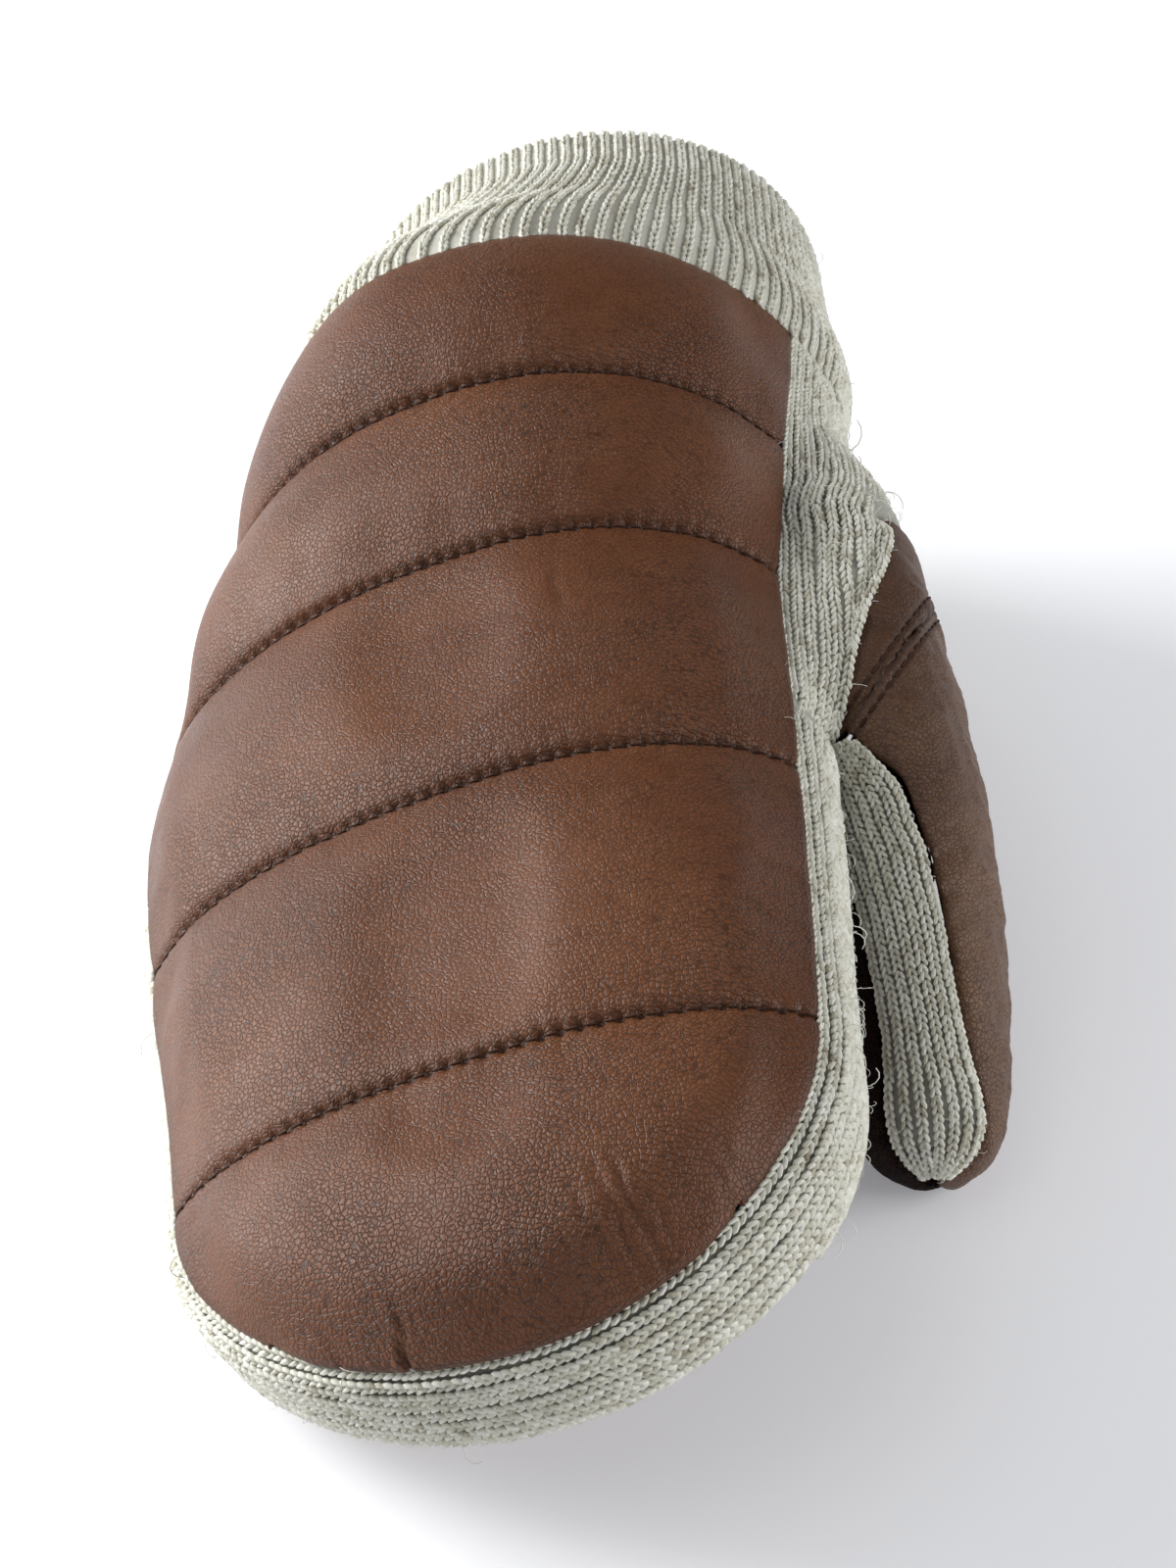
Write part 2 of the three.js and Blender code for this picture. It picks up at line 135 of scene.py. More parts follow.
def handSkin(across, ahead, tip, share, lower=False, inset=0.0):
    # across and share go from 0 at the crown to 1 at the widest line, ahead is the length
    # on the straight part, tip takes over from it round the fingertips
    y = np.where(tip > 0, hand["tipReach"] - (hand["tipReach"] - inset) * tip, ahead)
    half = np.where(
        across >= 0,
        curve(hand["places"], hand["right"], y) - hand["axisX"],
        curve(hand["places"], hand["left"], y) + hand["axisX"],
    ) - inset
    top = curve(hand["places"], hand["top"], y) - inset
    power = np.where(lower, hand["palmPower"], hand["crownPower"])
    cosine = np.clip(share, 0, 1) ** (power / 2)
    sine = np.sqrt(1 - cosine**2)
    up = (top - hand["belly"]) * sine ** (2 / hand["crownRise"])
    down = -(hand["belly"] - inset) * sine ** (2 / hand["palmRise"])
    z = hand["belly"] + np.where(lower, down, up)
    bow = hand["seamBow"] * share**2 * ease(0, hand["bowReach"], y)
    return np.stack([hand["axisX"] + half * across, y + bow, z], -1)


anyDepth = -90  # mm, lower than any point


def placed(points, floor=0.0):
    # from the mitten's own frame in mm to where it rests, in metres, kept above the floor
    roll, pitch = math.radians(restWay["roll"]), math.radians(restWay["pitch"])
    x = points[..., 0] * math.cos(roll) - points[..., 2] * math.sin(roll)
    z = points[..., 0] * math.sin(roll) + points[..., 2] * math.cos(roll)
    y = points[..., 1] * math.cos(pitch) + z * math.sin(pitch)
    z = z * math.cos(pitch) - points[..., 1] * math.sin(pitch)
    shift = restWay["shift"]
    return np.stack([x + shift[0], y + shift[1], np.maximum(z + shift[2], floor)], -1) * mm


def unplaced(points):
    # back to the mitten's own frame in mm
    roll, pitch = math.radians(restWay["roll"]), math.radians(restWay["pitch"])
    p = points / mm - np.array(restWay["shift"])
    y = p[..., 1] * math.cos(pitch) - p[..., 2] * math.sin(pitch)
    z = p[..., 1] * math.sin(pitch) + p[..., 2] * math.cos(pitch)
    x = p[..., 0] * math.cos(roll) + z * math.sin(roll)
    return np.stack([x, y, z * math.cos(roll) - p[..., 0] * math.sin(roll)], -1)


def unit(vectors):
    return vectors / np.maximum(np.linalg.norm(vectors, axis=-1, keepdims=True), 1e-12)


def soften(points, size, seed, layers=3):
    # smooth noise at each point, for a feature size in mm
    flat = points.reshape(-1, 3) / size + seed * 17.3
    found = np.array([noise.fractal(Vector(p), 0.6, 2.1, layers) for p in flat])
    return found.reshape(points.shape[:-1])


def addObject(name, mesh):
    piece = bpy.data.objects.new(name, mesh)
    bpy.context.scene.collection.objects.link(piece)
    return piece


def readPoints(mesh):
    found = np.zeros(len(mesh.vertices) * 3, np.float32)
    mesh.vertices.foreach_get("co", found)
    return found.reshape(-1, 3).astype(float)


def writePoints(mesh, points):
    mesh.vertices.foreach_set("co", np.asarray(points, np.float32).ravel())
    mesh.update()


def addAttribute(mesh, name, values):
    layer = mesh.attributes.new(name, "FLOAT", "POINT")
    layer.data.foreach_set("value", np.asarray(values, np.float32).ravel())


def readAttribute(mesh, name):
    layer = mesh.attributes[name].data
    found = np.zeros(len(layer), np.float32)
    layer.foreach_get("value", found)
    return found


def meshFrom(bm, name):
    mesh = bpy.data.meshes.new(name)
    bm.to_mesh(mesh)
    bm.free()
    return mesh


def smoothShade(mesh):
    mesh.polygons.foreach_set("use_smooth", np.ones(len(mesh.polygons), bool))
    mesh.update()


def gridMesh(name, points, merge=False, extras=None):
    # a flat grid laid over an array of points [u, v]
    countU, countV = points.shape[0] - 1, points.shape[1] - 1
    bm = bmesh.new()
    bmesh.ops.create_grid(bm, x_segments=countU, y_segments=countV, size=1)
    mesh = meshFrom(bm, name)
    flat = (readPoints(mesh) + 1) / 2
    i = np.rint(flat[:, 0] * countU).astype(int)
    j = np.rint(flat[:, 1] * countV).astype(int)
    writePoints(mesh, points[i, j])
    for key, values in (extras or {}).items():
        addAttribute(mesh, key, values[i, j])
    if merge:
        bm = bmesh.new()
        bm.from_mesh(mesh)
        bmesh.ops.remove_doubles(bm, verts=bm.verts, dist=1e-6)
        bm.to_mesh(mesh)
        bm.free()
    smoothShade(mesh)
    return mesh


def faceOutwards(mesh):
    bm = bmesh.new()
    bm.from_mesh(mesh)
    bmesh.ops.recalc_face_normals(bm, faces=bm.faces)
    if bm.calc_volume(signed=True) < 0:
        bmesh.ops.reverse_faces(bm, faces=bm.faces)
    bm.to_mesh(mesh)
    bm.free()


def finished(piece):
    # the mesh with its modifiers applied
    graph = bpy.context.evaluated_depsgraph_get()
    mesh = bpy.data.meshes.new_from_object(
        piece.evaluated_get(graph), preserve_all_data_layers=True, depsgraph=graph)
    old = piece.data
    piece.modifiers.clear()
    piece.data = mesh
    mesh.name = piece.name
    bpy.data.meshes.remove(old)
    return mesh


def softCopy(name, node, voxel, rounds):
    # a CAD solid's copy as one smooth skin without facets
    bm = bmesh.new()
    bm.from_mesh(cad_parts[node].data)
    bmesh.ops.remove_doubles(bm, verts=bm.verts, dist=1e-6)
    piece = addObject(name, meshFrom(bm, name))
    remesh = piece.modifiers.new("remesh", "REMESH")
    remesh.mode = "VOXEL"
    remesh.voxel_size = voxel * mm
    smooth = piece.modifiers.new("smooth", "SMOOTH")
    smooth.factor = 0.5
    smooth.iterations = rounds
    smoothShade(finished(piece))
    return piece


def treeOf(*pieces):
    bm = bmesh.new()
    for piece in pieces:
        bm.from_mesh(piece.data)
    tree = BVHTree.FromBMesh(bm)
    bm.free()
    return tree


def joined(first, *others):
    bpy.ops.object.select_all(action="DESELECT")
    for piece in (first,) + others:
        piece.select_set(True)
    bpy.context.view_layer.objects.active = first
    bpy.ops.object.join()
    return first


def normalsOf(mesh):
    found = np.zeros(len(mesh.vertices) * 3, np.float32)
    mesh.vertex_normals.foreach_get("vector", found)
    return found.reshape(-1, 3).astype(float)


def scatter(name, shape, places, frames, sizes, tones, material):
    # copies of a small shape: frames hold each copy's x, y and z directions
    mesh = bpy.data.meshes.new(name)
    mesh.vertices.add(len(places))
    writePoints(mesh, places)
    turns = [Matrix(f).transposed().to_euler() for f in frames]
    for key, values in (("turn", turns), ("size", sizes)):
        layer = mesh.attributes.new(key, "FLOAT_VECTOR", "POINT")
        layer.data.foreach_set("vector", np.array(values, np.float32).ravel())
    addAttribute(mesh, "tone", tones)
    piece = addObject(name, mesh)
    group = bpy.data.node_groups.new(name, "GeometryNodeTree")
    group.interface.new_socket("Geometry", in_out="INPUT", socket_type="NodeSocketGeometry")
    group.interface.new_socket("Geometry", in_out="OUTPUT", socket_type="NodeSocketGeometry")
    start = group.nodes.new("NodeGroupInput")
    end = group.nodes.new("NodeGroupOutput")
    info = group.nodes.new("GeometryNodeObjectInfo")
    info.inputs["Object"].default_value = shape
    fields = {}
    for key in ("turn", "size"):
        fields[key] = group.nodes.new("GeometryNodeInputNamedAttribute")
        fields[key].data_type = "FLOAT_VECTOR"
        fields[key].inputs["Name"].default_value = key
    euler = group.nodes.new("FunctionNodeEulerToRotation")
    copies = group.nodes.new("GeometryNodeInstanceOnPoints")
    realize = group.nodes.new("GeometryNodeRealizeInstances")
    for output, socket in (
        (start.outputs[0], copies.inputs["Points"]),
        (info.outputs["Geometry"], copies.inputs["Instance"]),
        (fields["turn"].outputs["Attribute"], euler.inputs[0]),
        (euler.outputs[0], copies.inputs["Rotation"]),
        (fields["size"].outputs["Attribute"], copies.inputs["Scale"]),
        (copies.outputs[0], realize.inputs[0]),
        (realize.outputs[0], end.inputs[0]),
    ):
        group.links.new(output, socket)
    modifier = piece.modifiers.new("copies", "NODES")
    modifier.node_group = group
    mesh = finished(piece)
    mesh.materials.clear()
    mesh.materials.append(material)
    smoothShade(mesh)
    return piece


def paint(code):
    # hex colour to linear
    parts = [int(code[k:k + 2], 16) / 255 for k in (0, 2, 4)]
    return tuple(c / 12.92 if c < 0.04045 else ((c + 0.055) / 1.055) ** 2.4 for c in parts) + (1,)


def newMaterial(name):
    material = bpy.data.materials.new(name)
    material.use_nodes = True
    material.node_tree.nodes.clear()
    return material, material.node_tree


def add(tree, kind, values=None, **settings):
    # a node with its settings, fed by numbers or by other nodes' outputs
    node = tree.nodes.new("ShaderNode" + kind)
    for key, value in settings.items():
        setattr(node, key, value)
    for key, value in (values or {}).items():
        if isinstance(value, bpy.types.NodeSocket):
            tree.links.new(value, node.inputs[key])
        else:
            node.inputs[key].default_value = value
    return node


def shade(tree, values):
    shader = add(tree, "BsdfPrincipled", values)
    add(tree, "OutputMaterial", {"Surface": shader.outputs[0]})


def ramp(tree, value, stops):
    node = add(tree, "ValToRGB", {0: value})
    points = node.color_ramp.elements
    while len(points) < len(stops):
        points.new(0.5)
    for point, (place, color) in zip(points, stops):
        point.position = place
        point.color = color if len(color) == 4 else tuple(color) + (1,)
    return node.outputs["Color"]


def blend(tree, share, a, b, way="MIX"):
    node = add(tree, "Mix", data_type="RGBA", blend_type=way)
    for socket, value in ((node.inputs[0], share), (node.inputs[6], a), (node.inputs[7], b)):
        if isinstance(value, bpy.types.NodeSocket):
            tree.links.new(value, socket)
        else:
            socket.default_value = value
    return node.outputs[2]


def maths(tree, way, a, b):
    return add(tree, "Math", {0: a, 1: b}, operation=way).outputs[0]


leatherLook = {
    # the darkest colour in each look below is painted shade for seams, stitch holes, creases,
    # dents and rolled-under edges
    "back": {"dark": "62381f", "main": "6b4025", "light": "75482b", "valley": "1f100a",
             "rough": 0.36, "gloss": 0.3},
    "palm": {"dark": "4e331f", "main": "5e3f28", "light": "6c4b33", "valley": "1f100a",
             "rough": 0.48, "gloss": 0.3},
    "thumb": {"dark": "553a26", "main": "664832", "light": "76573e", "valley": "1f100a",
              "rough": 0.48, "gloss": 0.35},
    # near-black painted shade: the thumb's inner panel stands for the deep shade in the gap
    # between hand and thumb
    "inner": {"dark": "08080b", "main": "0c0c10", "light": "131317", "valley": "000000",
              "rough": 0.8, "gloss": 0.06},
    "grainSize": 0.78,  # mm across one cell of the grain
    "grainDepth": 0.9,
    "grainHeight": 0.14,  # mm
    # how strongly that painted shade darkens the leather
    "paintedShadeDark": 0.6,
}


def leatherMaterial(name, look):
    material, tree = newMaterial(name)
    where = add(tree, "TexCoord").outputs["Object"]
    wide = add(tree, "TexNoise", {"Vector": where, "Scale": 26, "Detail": 4, "Roughness": 0.55})
    close = add(tree, "TexNoise", {"Vector": where, "Scale": 210, "Detail": 5, "Roughness": 0.62})
    color = ramp(tree, wide.outputs[0], [
        (0.3, paint(look["dark"])), (0.5, paint(look["main"])), (0.72, paint(look["light"]))])
    color = blend(tree, 0.14, color, ramp(tree, close.outputs[0], [
        (0.3, (0.30, 0.28, 0.27)), (0.62, (0.66, 0.66, 0.67))]), "OVERLAY")
    # pebble grain: cells of two sizes, bent by noise
    bend = add(tree, "TexNoise", {"Vector": where, "Scale": 500, "Detail": 2})
    bent = add(tree, "VectorMath", {0: bend.outputs["Color"], 1: (0.0004,) * 3},
               operation="MULTIPLY").outputs[0]
    spot = add(tree, "VectorMath", {0: where, 1: bent}, operation="ADD").outputs[0]
    scale = 1000 / leatherLook["grainSize"]
    cells = add(tree, "TexVoronoi", {"Vector": spot, "Scale": scale}, feature="DISTANCE_TO_EDGE")
    small = add(tree, "TexVoronoi", {"Vector": spot, "Scale": scale * 2.3},
                feature="DISTANCE_TO_EDGE")
    pebble = ramp(tree, cells.outputs["Distance"], [
        (0.0, (0, 0, 0)), (0.14, (0.7,) * 3), (0.4, (1, 1, 1))])
    tiny = ramp(tree, small.outputs["Distance"], [(0.0, (0, 0, 0)), (0.25, (1, 1, 1))])
    # grain is stronger in some places than others
    patch = add(tree, "TexNoise", {"Vector": where, "Scale": 38, "Detail": 2})
    strong = ramp(tree, patch.outputs[0], [(0.34, (0.5,) * 3), (0.64, (0.9,) * 3)])
    grain = maths(tree, "ADD", pebble, maths(tree, "MULTIPLY", tiny, 0.3))
    grain = maths(tree, "MULTIPLY", grain, strong)
    ripple = add(tree, "TexNoise", {"Vector": where, "Scale": 330, "Detail": 3, "Roughness": 0.6})
    grain = maths(tree, "ADD", grain, maths(tree, "MULTIPLY", ripple.outputs[0], 0.5))
    line = ramp(tree, cells.outputs["Distance"], [
        (0.0, (1, 1, 1)), (0.06, (0.75,) * 3), (0.16, (0, 0, 0))])
    color = blend(tree, maths(tree, "MULTIPLY", line, strong), color, (0.04, 0.016, 0.008, 1))
    # painted shade from a mesh attribute: darker in seams, stitch holes, creases, dents and under
    # the rolled edge
    valley = add(tree, "Attribute", attribute_name="valley").outputs["Fac"]
    dark = maths(tree, "MULTIPLY", valley, leatherLook["paintedShadeDark"])
    color = blend(tree, dark, color, paint(look["valley"]))
    bump = add(tree, "Bump", {"Strength": leatherLook["grainDepth"], "Height": grain,
                              "Distance": leatherLook["grainHeight"] * mm})
    rough = add(tree, "MapRange", {"Value": close.outputs[0], "From Min": 0.3, "From Max": 0.7,
                                   "To Min": look["rough"] - 0.06, "To Max": look["rough"] + 0.09})
    shade(tree, {"Base Color": color, "Roughness": rough.outputs[0], "Normal": bump.outputs[0],
                 "Specular IOR Level": look["gloss"]})
    return material


woolLook = {"dark": "7d6b54", "main": "c8c3b0", "light": "e4e3d6", "pale": "f6f5ee",
            "fibreDepth": 0.5}


def woolMaterial(name, paintedShadeLevel):
    material, tree = newMaterial(name)
    where = add(tree, "TexCoord").outputs["Object"]
    tone = add(tree, "Attribute", attribute_name="tone").outputs["Fac"]
    patch = add(tree, "TexNoise", {"Vector": where, "Scale": 160, "Detail": 3}).outputs[0]
    fibre = add(tree, "TexNoise", {"Vector": where, "Scale": 2600, "Detail": 4,
                                   "Roughness": 0.7}).outputs[0]
    tint = maths(tree, "ADD", maths(tree, "MULTIPLY", tone, 0.4),
                 maths(tree, "MULTIPLY", patch, 0.32))
    tint = maths(tree, "ADD", tint, maths(tree, "MULTIPLY", fibre, 0.42))
    color = ramp(tree, tint, [
        (0.24, paint(woolLook["dark"])), (0.38, paint(woolLook["main"])),
        (0.54, paint(woolLook["light"])), (0.78, paint(woolLook["pale"]))])
    # painted shade: the wool's whole colour darkened, for copies that lie in shade
    color = blend(tree, 1.0, color, (paintedShadeLevel, paintedShadeLevel, paintedShadeLevel * 0.98, 1), "MULTIPLY")
    bump = add(tree, "Bump", {"Strength": woolLook["fibreDepth"], "Distance": 0.0004,
                              "Height": fibre})
    shade(tree, {"Base Color": color, "Normal": bump.outputs[0], "Roughness": 0.92,
                 "Specular IOR Level": 0.25, "Sheen Weight": 0.35, "Sheen Roughness": 0.6})
    return material


def threadMaterial(name, code):
    material, tree = newMaterial(name)
    where = add(tree, "TexCoord").outputs["Object"]
    twist = add(tree, "TexNoise", {"Vector": where, "Scale": 2200, "Detail": 3}).outputs[0]
    color = blend(tree, twist, paint(code), (0.02, 0.012, 0.009, 1))
    bump = add(tree, "Bump", {"Strength": 0.5, "Distance": 0.0002, "Height": twist})
    shade(tree, {"Base Color": color, "Normal": bump.outputs[0], "Roughness": 0.8,
                 "Specular IOR Level": 0.2})
    return material


backLeather = leatherMaterial("back_leather_brown", leatherLook["back"])
palmLeather = leatherMaterial("palm_leather_brown", leatherLook["palm"])
thumbLeather = leatherMaterial("thumb_leather_brown", leatherLook["thumb"])
innerLeatherPaintedShade = leatherMaterial("inner_leather", leatherLook["inner"])
wool = woolMaterial("wool_oatmeal", 1.0)
# the soft and deep copies carry painted shade: the cuff's base between the ribs, and the base
# under the ribs and under the leather's edge
woolInShade = woolMaterial("wool_oatmeal_soft", 0.8)
woolInDeepShade = woolMaterial("wool_oatmeal_deep", 0.45)
thread = threadMaterial("thread_brown", "4a2c1d")
print("materials ready")


back = {
    "seams": (207, 175.2, 143.1, 94.3, 40.3),  # cuff end, three cross seams, fingertip seam
    "columns": 288,
    "rows": (38, 38, 52, 56, 48),  # in each channel, cuff first
    "startHeight": 3.6,  # padding before the cloth swells
    "edgeShare": 0.3,
    "fullness": 0.7,
    "simColumns": 72,
    "simRows": (16, 16, 24, 26, 20),
    "cloth": {"quality": 6, "mass": 0.12, "tension_stiffness": 12, "compression_stiffness": 6,
              "shear_stiffness": 6, "bending_stiffness": 2.5},
    "slack": -0.004,
    "pressure": 4.0,
    "simFrames": 20,
    "mostSwell": 2.6,
    "quickSwell": 1.5,  # in place of the simulation, as a share of the padding's height
    "evenRounds": 4,
    "rollRadius": 1.25,
    "rollRings": 5,
    "rollTurn": 150,  # degrees
    "innerRings": 10,
    "wall": 2.4,
    "rowCrowd": 0.09,  # how much closer the rows stand at the seams
    "lineSink": 0.42,  # the leather sinks under the line of stitches
    "pucker": 0.13,
    "holeDepth": 0.45,
    "gather": 0.16,
    "edgeWave": 0.12,
    "stitchPitch": 2.7,
    "stitchLength": 1.95,
    "thread": 0.42,
}


def backPoint(p, row, inset=0.0):
    # p runs across from -1 to 1, row counts the channels from the cuff to the fingertips
    p, row = np.broadcast_arrays(np.asarray(p, float), np.asarray(row, float))
    ahead = np.interp(row, range(5), back["seams"])
    q = np.clip(row - 4, 0, 1)
    a, t = p * np.sqrt(1 - q * q / 2), q * np.sqrt(1 - p * p / 2)
    turn = np.arctan2(a, np.maximum(t, 1e-9))
    edge = np.radians(mix(hand["edgeOnTip"], hand["edgeOnSides"], np.sin(turn) ** 2))
    share = np.hypot(a, t) * np.cos(edge) ** (2 / hand["crownPower"])
    power = hand["tipPower"]
    k = (np.abs(np.sin(turn)) ** power + np.abs(np.cos(turn)) ** power) ** (-1 / power)
    onTip = q > 0
    across = np.where(onTip, np.sin(turn) * k * share, np.sign(p) * share)
    tip = np.where(onTip, np.cos(turn) * k * share, 0)
    return handSkin(across, ahead, tip, share, False, inset)


def rowList(counts, crowd):
    rows = [0.0]
    for channel, count in enumerate(counts):
        t = np.arange(1, count + 1) / count
        if channel == 4:
            rows.extend(channel + t - crowd * np.sin(math.pi * t) / 2)
        else:
            rows.extend(channel + t - crowd * np.sin(2 * math.pi * t))
    return np.array(rows)


def acrossList(count):
    t = np.linspace(-1, 1, count + 1)
    return t * (1.25 - 0.25 * t * t)


def surfaceFrame(points):
    du = np.gradient(points, axis=0)
    dv = np.gradient(points, axis=1)
    normal = unit(np.cross(dv, du))
    for i, k in ((0, 3), (-1, -4)):  # the grid's corners pinch at the fingertips
        normal[i, -1] = normal[k, -4]
    return normal, unit(np.cross(normal, unit(dv))), unit(np.cross(unit(du), normal))


def startPuff(p, row):
    # padding height before the cloth swells: none on the seams, little at the side edges
    side = ease(0.80, 1.0, np.abs(p))
    q = np.clip(row - 4, 0, 1)
    onTip = np.sin(math.pi * np.clip(0.5 * q, 0, 1)) ** back["fullness"]
    near = np.hypot(p * np.sqrt(1 - q * q / 2), q * np.sqrt(1 - p * p / 2))
    tipFade = mix(1, back["edgeShare"], ease(0.78, 1.0, near))
    channel = np.sin(math.pi * (row - np.floor(row))) ** back["fullness"]
    whole = np.where(row > 4, onTip * tipFade, channel)
    whole = np.where((np.abs(row - np.rint(row)) < 1e-6) & (row < 4.5), 0, whole)
    return back["startHeight"] * whole * mix(1, back["edgeShare"], side)


def swellCloth(p, row):
    # the cover as cloth, held at its seams and edges and blown up by its padding
    grid = backPoint(p[:, None], row[None, :])
    normal = surfaceFrame(grid)[0]
    puff = startPuff(p[:, None], row[None, :])
    base = placed(grid + normal * puff[..., None])
    held = np.zeros(base.shape[:2])
    held[0, :] = held[-1, :] = held[:, 0] = held[:, -1] = 1
    for k in range(1, 5):
        held[:, np.argmin(np.abs(row - k))] = 1
    numbers = np.arange(held.size).reshape(held.shape)
    piece = addObject("cover_cloth", gridMesh("cover_cloth", base, False, {"number": numbers}))
    order = readAttribute(piece.data, "number").astype(int)
    group = piece.vertex_groups.new(name="held")
    group.add([int(n) for n in np.nonzero(held.ravel()[order] > 0)[0]], 1.0, "REPLACE")
    cloth = piece.modifiers.new("cloth", "CLOTH")
    settings = cloth.settings
    for key, value in back["cloth"].items():
        setattr(settings, key, value)
    settings.vertex_group_mass = "held"
    settings.shrink_min = back["slack"]
    settings.use_pressure = True
    settings.uniform_pressure_force = back["pressure"]
    settings.effector_weights.gravity = 0
    cloth.collision_settings.use_collision = False
    cloth.collision_settings.use_self_collision = False
    cloth.point_cache.frame_start, cloth.point_cache.frame_end = 1, back["simFrames"]
    scene = bpy.context.scene
    for number in range(1, back["simFrames"] + 1):
        scene.frame_set(number)
    swollen = np.zeros_like(base.reshape(-1, 3))
    graph = bpy.context.evaluated_depsgraph_get()
    swollen[order] = readPoints(piece.evaluated_get(graph).data)
    scene.frame_set(1)
    bpy.data.objects.remove(piece)
    moved = swollen.reshape(base.shape) - base
    far = np.linalg.norm(moved, axis=-1, keepdims=True)
    most = back["mostSwell"] * mm
    print("cover swells by", np.round(1000 * far.mean(), 2), "mm on average, most",
          np.round(1000 * far.max(), 2))
    moved *= most * np.tanh(far / most) / np.maximum(far, 1e-9)
    for _ in range(back["evenRounds"]):
        spread = moved.copy()
        spread[1:-1, 1:-1] = (moved[:-2, 1:-1] + moved[2:, 1:-1] + moved[1:-1, :-2]
                              + moved[1:-1, 2:] + 2 * moved[1:-1, 1:-1]) / 6
        moved = spread * (1 - held[..., None])
    return base + moved


# creases in the leather: start and end (x, y in the mitten's frame), depth and half width in mm
creases = (
    ((-15.2, 0.5), (-13.6, 4.6), 1.4, 0.65),
    ((-13.6, 4.6), (-12.2, 8.5), 0.6, 0.55),
    ((15.3, 16.0), (18.4, 4.4), 0.42, 0.7),
    ((17.6, 17.4), (20.7, 5.2), 0.5, 0.65),
    ((12.4, 14.6), (15.6, 3.8), 0.3, 0.8),
    ((19.8, 15.2), (22.4, 8.0), 0.3, 0.6),
    ((27.4, 17.6), (30.8, 12.9), 0.35, 0.6),
    ((29.4, 20.2), (32.6, 15.4), 0.3, 0.6),
    ((17.8, 134.0), (17.5, 121.0), 0.18, 1.0),
    ((-23.8, 9.6), (-22.6, 5.8), 0.3, 0.7),
    ((39.0, 124.5), (45.0, 123.6), 0.3, 0.7),
    ((38.4, 118.0), (45.4, 115.4), 0.25, 0.7),
    ((36.6, 71.0), (44.2, 69.6), 0.3, 0.8),
    ((37.4, 76.2), (44.4, 76.0), 0.22, 0.8),
    ((35.2, 60.6), (44.0, 58.6), 0.2, 0.8),
)


def creaseDepth(points):
    depth = np.zeros(points.shape[:-1])
    for start, end, deep, wide in creases:
        a, b = np.array(start), np.array(end)
        line = b - a
        t = np.clip(((points[..., :2] - a) @ line) / (line @ line), 0, 1)
        wander = 0.5 * np.sin(t * 7 + a[0]) * np.sin(t * math.pi)
        away = points[..., :2] - (a + t[..., None] * line)
        side = (away[..., 0] * line[1] - away[..., 1] * line[0]) / np.linalg.norm(line)
        gap = np.hypot(side - wander, np.linalg.norm(away, axis=-1) - np.abs(side))
        fade = np.sin(math.pi * np.clip(0.12 + 0.76 * t, 0, 1))
        lips = 0.35 * np.exp(-(gap / wide / 2.2) ** 2)
        depth += deep * fade * (np.exp(-(gap / wide) ** 2) - lips)
    return depth


